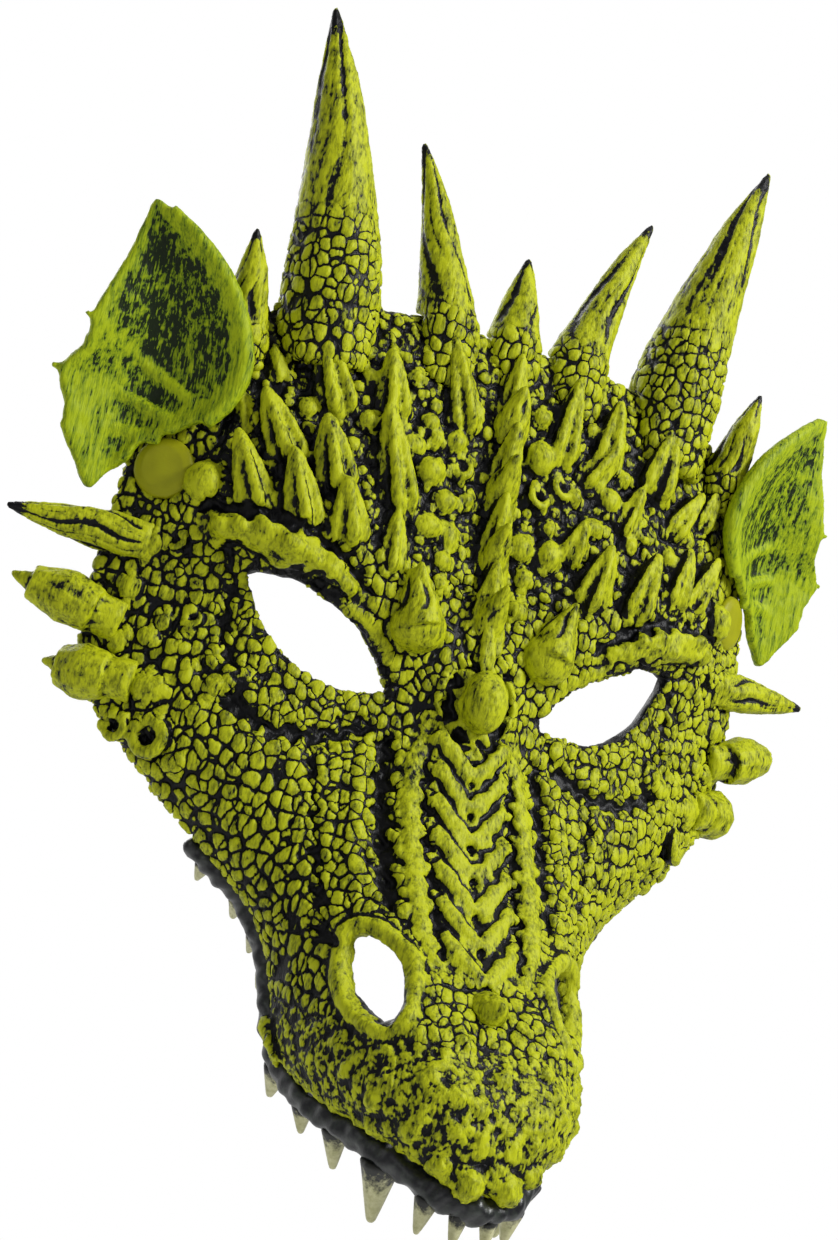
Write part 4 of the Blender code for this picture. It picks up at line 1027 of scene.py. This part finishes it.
nickel, nickel_tree, nickel_shader = new_material("nickel plated steel")
where = add_node(nickel_tree, "ShaderNodeTexCoord")
nickel_grain = add_node(nickel_tree, "ShaderNodeTexNoise", {"Vector": where.outputs["Object"],
                        "Scale": 1 / (1.5 * MM), "Detail": 3.0})
nickel_gloss = add_node(nickel_tree, "ShaderNodeMapRange", {"Value": nickel_grain.outputs["Fac"],
                        "To Min": 0.2, "To Max": 0.4})
nickel_tree.links.new(nickel_gloss.outputs[0], nickel_shader.inputs["Roughness"])
nickel_mix = add_node(nickel_tree, "ShaderNodeMix", {0: nickel_grain.outputs["Fac"], 6: linear("#b9b6ae"),
                      7: linear("#d2cfc8")}, data_type="RGBA")
nickel_tree.links.new(nickel_mix.outputs[2], nickel_shader.inputs["Base Color"])
nickel_shader.inputs["Metallic"].default_value = 1.0

for side_name, side in SIDES:
    for node, material in ((f"strap_tab_{side_name}", plastic), (f"strap_rivet_{side_name}", nickel),
                           (f"strap_stud_{side_name}", nickel)):
        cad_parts[node].data.materials.clear()
        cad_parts[node].data.materials.append(material)


# The strap: black woven elastic, 20 mm wide and 1.5 mm thick, bowed out behind the mask from stud to stud. It
# is woven in ribs along its length between two thicker selvedges, and its ends are punched for the studs.
STRAP_HINGE = Vector((86.4, 38.2, 48.0))
STRAP_OUTER = 86.08
STRAP_BOW = 78
STRAP_RISE = math.radians(12)
STRAP_THICK = 1.46
STRAP_STRAIGHT = 8
STRAP_PROFILE = ((-9.9, 0.45), (-9.6, 0.12), (-9.1, 0.0), (-8.5, 0.14), (-7.8, 0.2), (-4, 0.14), (0, 0.1),
                 (4, 0.14), (7.8, 0.2), (8.5, 0.14), (9.1, 0.0), (9.6, 0.12), (9.9, 0.45))
half_line = [Vector((STRAP_OUTER, y)) for y in np.linspace(-STRAP_STRAIGHT, STRAP_STRAIGHT, 24, False)]
half_line += [Vector((STRAP_OUTER * math.cos(a), STRAP_STRAIGHT + STRAP_BOW * math.sin(a)))
              for a in np.linspace(0, math.pi / 2, 90)]
plan = half_line + [Vector((-p.x, p.y)) for p in half_line[-2::-1]]
outline_of_band = list(STRAP_PROFILE)
outline_of_band += [(height, STRAP_THICK - depth) for height, depth in reversed(STRAP_PROFILE)]
bm = bmesh.new()
rows = []
uv_rows = []
distance = 0.0
for index, spot in enumerate(plan):
    before = plan[max(index - 1, 0)]
    after = plan[min(index + 1, len(plan) - 1)]
    inward = Vector((before.y - after.y, after.x - before.x)).normalized()
    distance += (spot - before).length
    row = []
    for height, depth in outline_of_band:
        flat = spot + inward * depth
        up = math.sin(STRAP_RISE) * flat.y + math.cos(STRAP_RISE) * height
        back = math.cos(STRAP_RISE) * flat.y - math.sin(STRAP_RISE) * height
        row.append(bm.verts.new(Vector((flat.x, STRAP_HINGE.y + back, STRAP_HINGE.z + up)) * MM))
    rows.append(row)
    uv_rows.append(distance)
uv_layer = bm.loops.layers.uv.new("weave")
count = len(outline_of_band)
for index in range(len(rows) - 1):
    for k in range(count):
        corners = ((index, k), (index + 1, k), (index + 1, (k + 1) % count), (index, (k + 1) % count))
        made = bm.faces.new([rows[i][j] for i, j in corners])
        for corner, (i, j) in zip(made.loops, corners):
            corner[uv_layer].uv = (uv_rows[i], outline_of_band[j][0])
bm.faces.new(rows[0])
bm.faces.new(rows[-1])
bmesh.ops.recalc_face_normals(bm, faces=bm.faces)
strap_mesh = bpy.data.meshes.new("elastic_strap")
bm.to_mesh(strap_mesh)
bm.free()
strap = bpy.data.objects.new("elastic_strap", strap_mesh)
bpy.context.scene.collection.objects.link(strap)
STUD_HOLE_RADIUS = 2.1
STUD_HOLE_REACH = 8
for side in (-1, 1):
    deselect()
    hole_place = Vector((side * STRAP_HINGE.x, STRAP_HINGE.y, STRAP_HINGE.z)) * MM
    bpy.ops.mesh.primitive_cylinder_add(vertices=24, radius=STUD_HOLE_RADIUS * MM, depth=STUD_HOLE_REACH * MM,
                                        rotation=(0, math.pi / 2, 0), location=hole_place)
    punch = bpy.context.object
    apply_modifier(strap, "BOOLEAN", operation="DIFFERENCE", solver="EXACT", object=punch)
    bpy.data.objects.remove(punch)
only(strap)
bpy.ops.object.shade_smooth_by_angle(angle=math.radians(40))
elastic, elastic_tree, elastic_shader = new_material("black woven elastic of polyester and rubber")
thread_at = add_node(elastic_tree, "ShaderNodeUVMap", uv_map="weave")
thread_parts = add_node(elastic_tree, "ShaderNodeSeparateXYZ", {0: thread_at.outputs["UV"]})
rib = add_node(elastic_tree, "ShaderNodeMath", {0: thread_parts.outputs["Y"], 1: 2 * math.pi / 1.1},
               operation="MULTIPLY")
rib_height = add_node(elastic_tree, "ShaderNodeMath", {0: rib.outputs[0]}, operation="COSINE")
lean = add_node(elastic_tree, "ShaderNodeMath", {0: rib_height.outputs[0], 1: 1.2}, operation="MULTIPLY")
pick = add_node(elastic_tree, "ShaderNodeMath", {0: thread_parts.outputs["X"], 1: 2 * math.pi / 0.8,
                2: lean.outputs[0]}, operation="MULTIPLY_ADD")
pick_height = add_node(elastic_tree, "ShaderNodeMath", {0: pick.outputs[0]}, operation="SINE")
weave = add_node(elastic_tree, "ShaderNodeMath", {0: pick_height.outputs[0], 1: 0.5,
                 2: rib_height.outputs[0]}, operation="MULTIPLY_ADD")
weave_bump = add_node(elastic_tree, "ShaderNodeBump", {"Height": weave.outputs[0], "Strength": 0.8,
                      "Distance": 0.12 * MM})
elastic_tree.links.new(weave_bump.outputs[0], elastic_shader.inputs["Normal"])
# The colour is lighter on the raised threads of the weave and darker between them.
raised_threads = add_node(elastic_tree, "ShaderNodeMapRange", {"Value": weave.outputs[0], "From Min": -1.2,
                "From Max": 1.5})
elastic_mix = add_node(elastic_tree, "ShaderNodeMix", {0: raised_threads.outputs["Result"], 6: linear("#0b0b0c"),
                       7: linear("#2b2b2e")}, data_type="RGBA")
elastic_tree.links.new(elastic_mix.outputs[2], elastic_shader.inputs["Base Color"])
elastic_shader.inputs["Roughness"].default_value = 0.85
elastic_shader.inputs["Sheen Weight"].default_value = 0.3
strap.data.materials.append(elastic)
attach(strap, "strap")
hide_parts("strap")
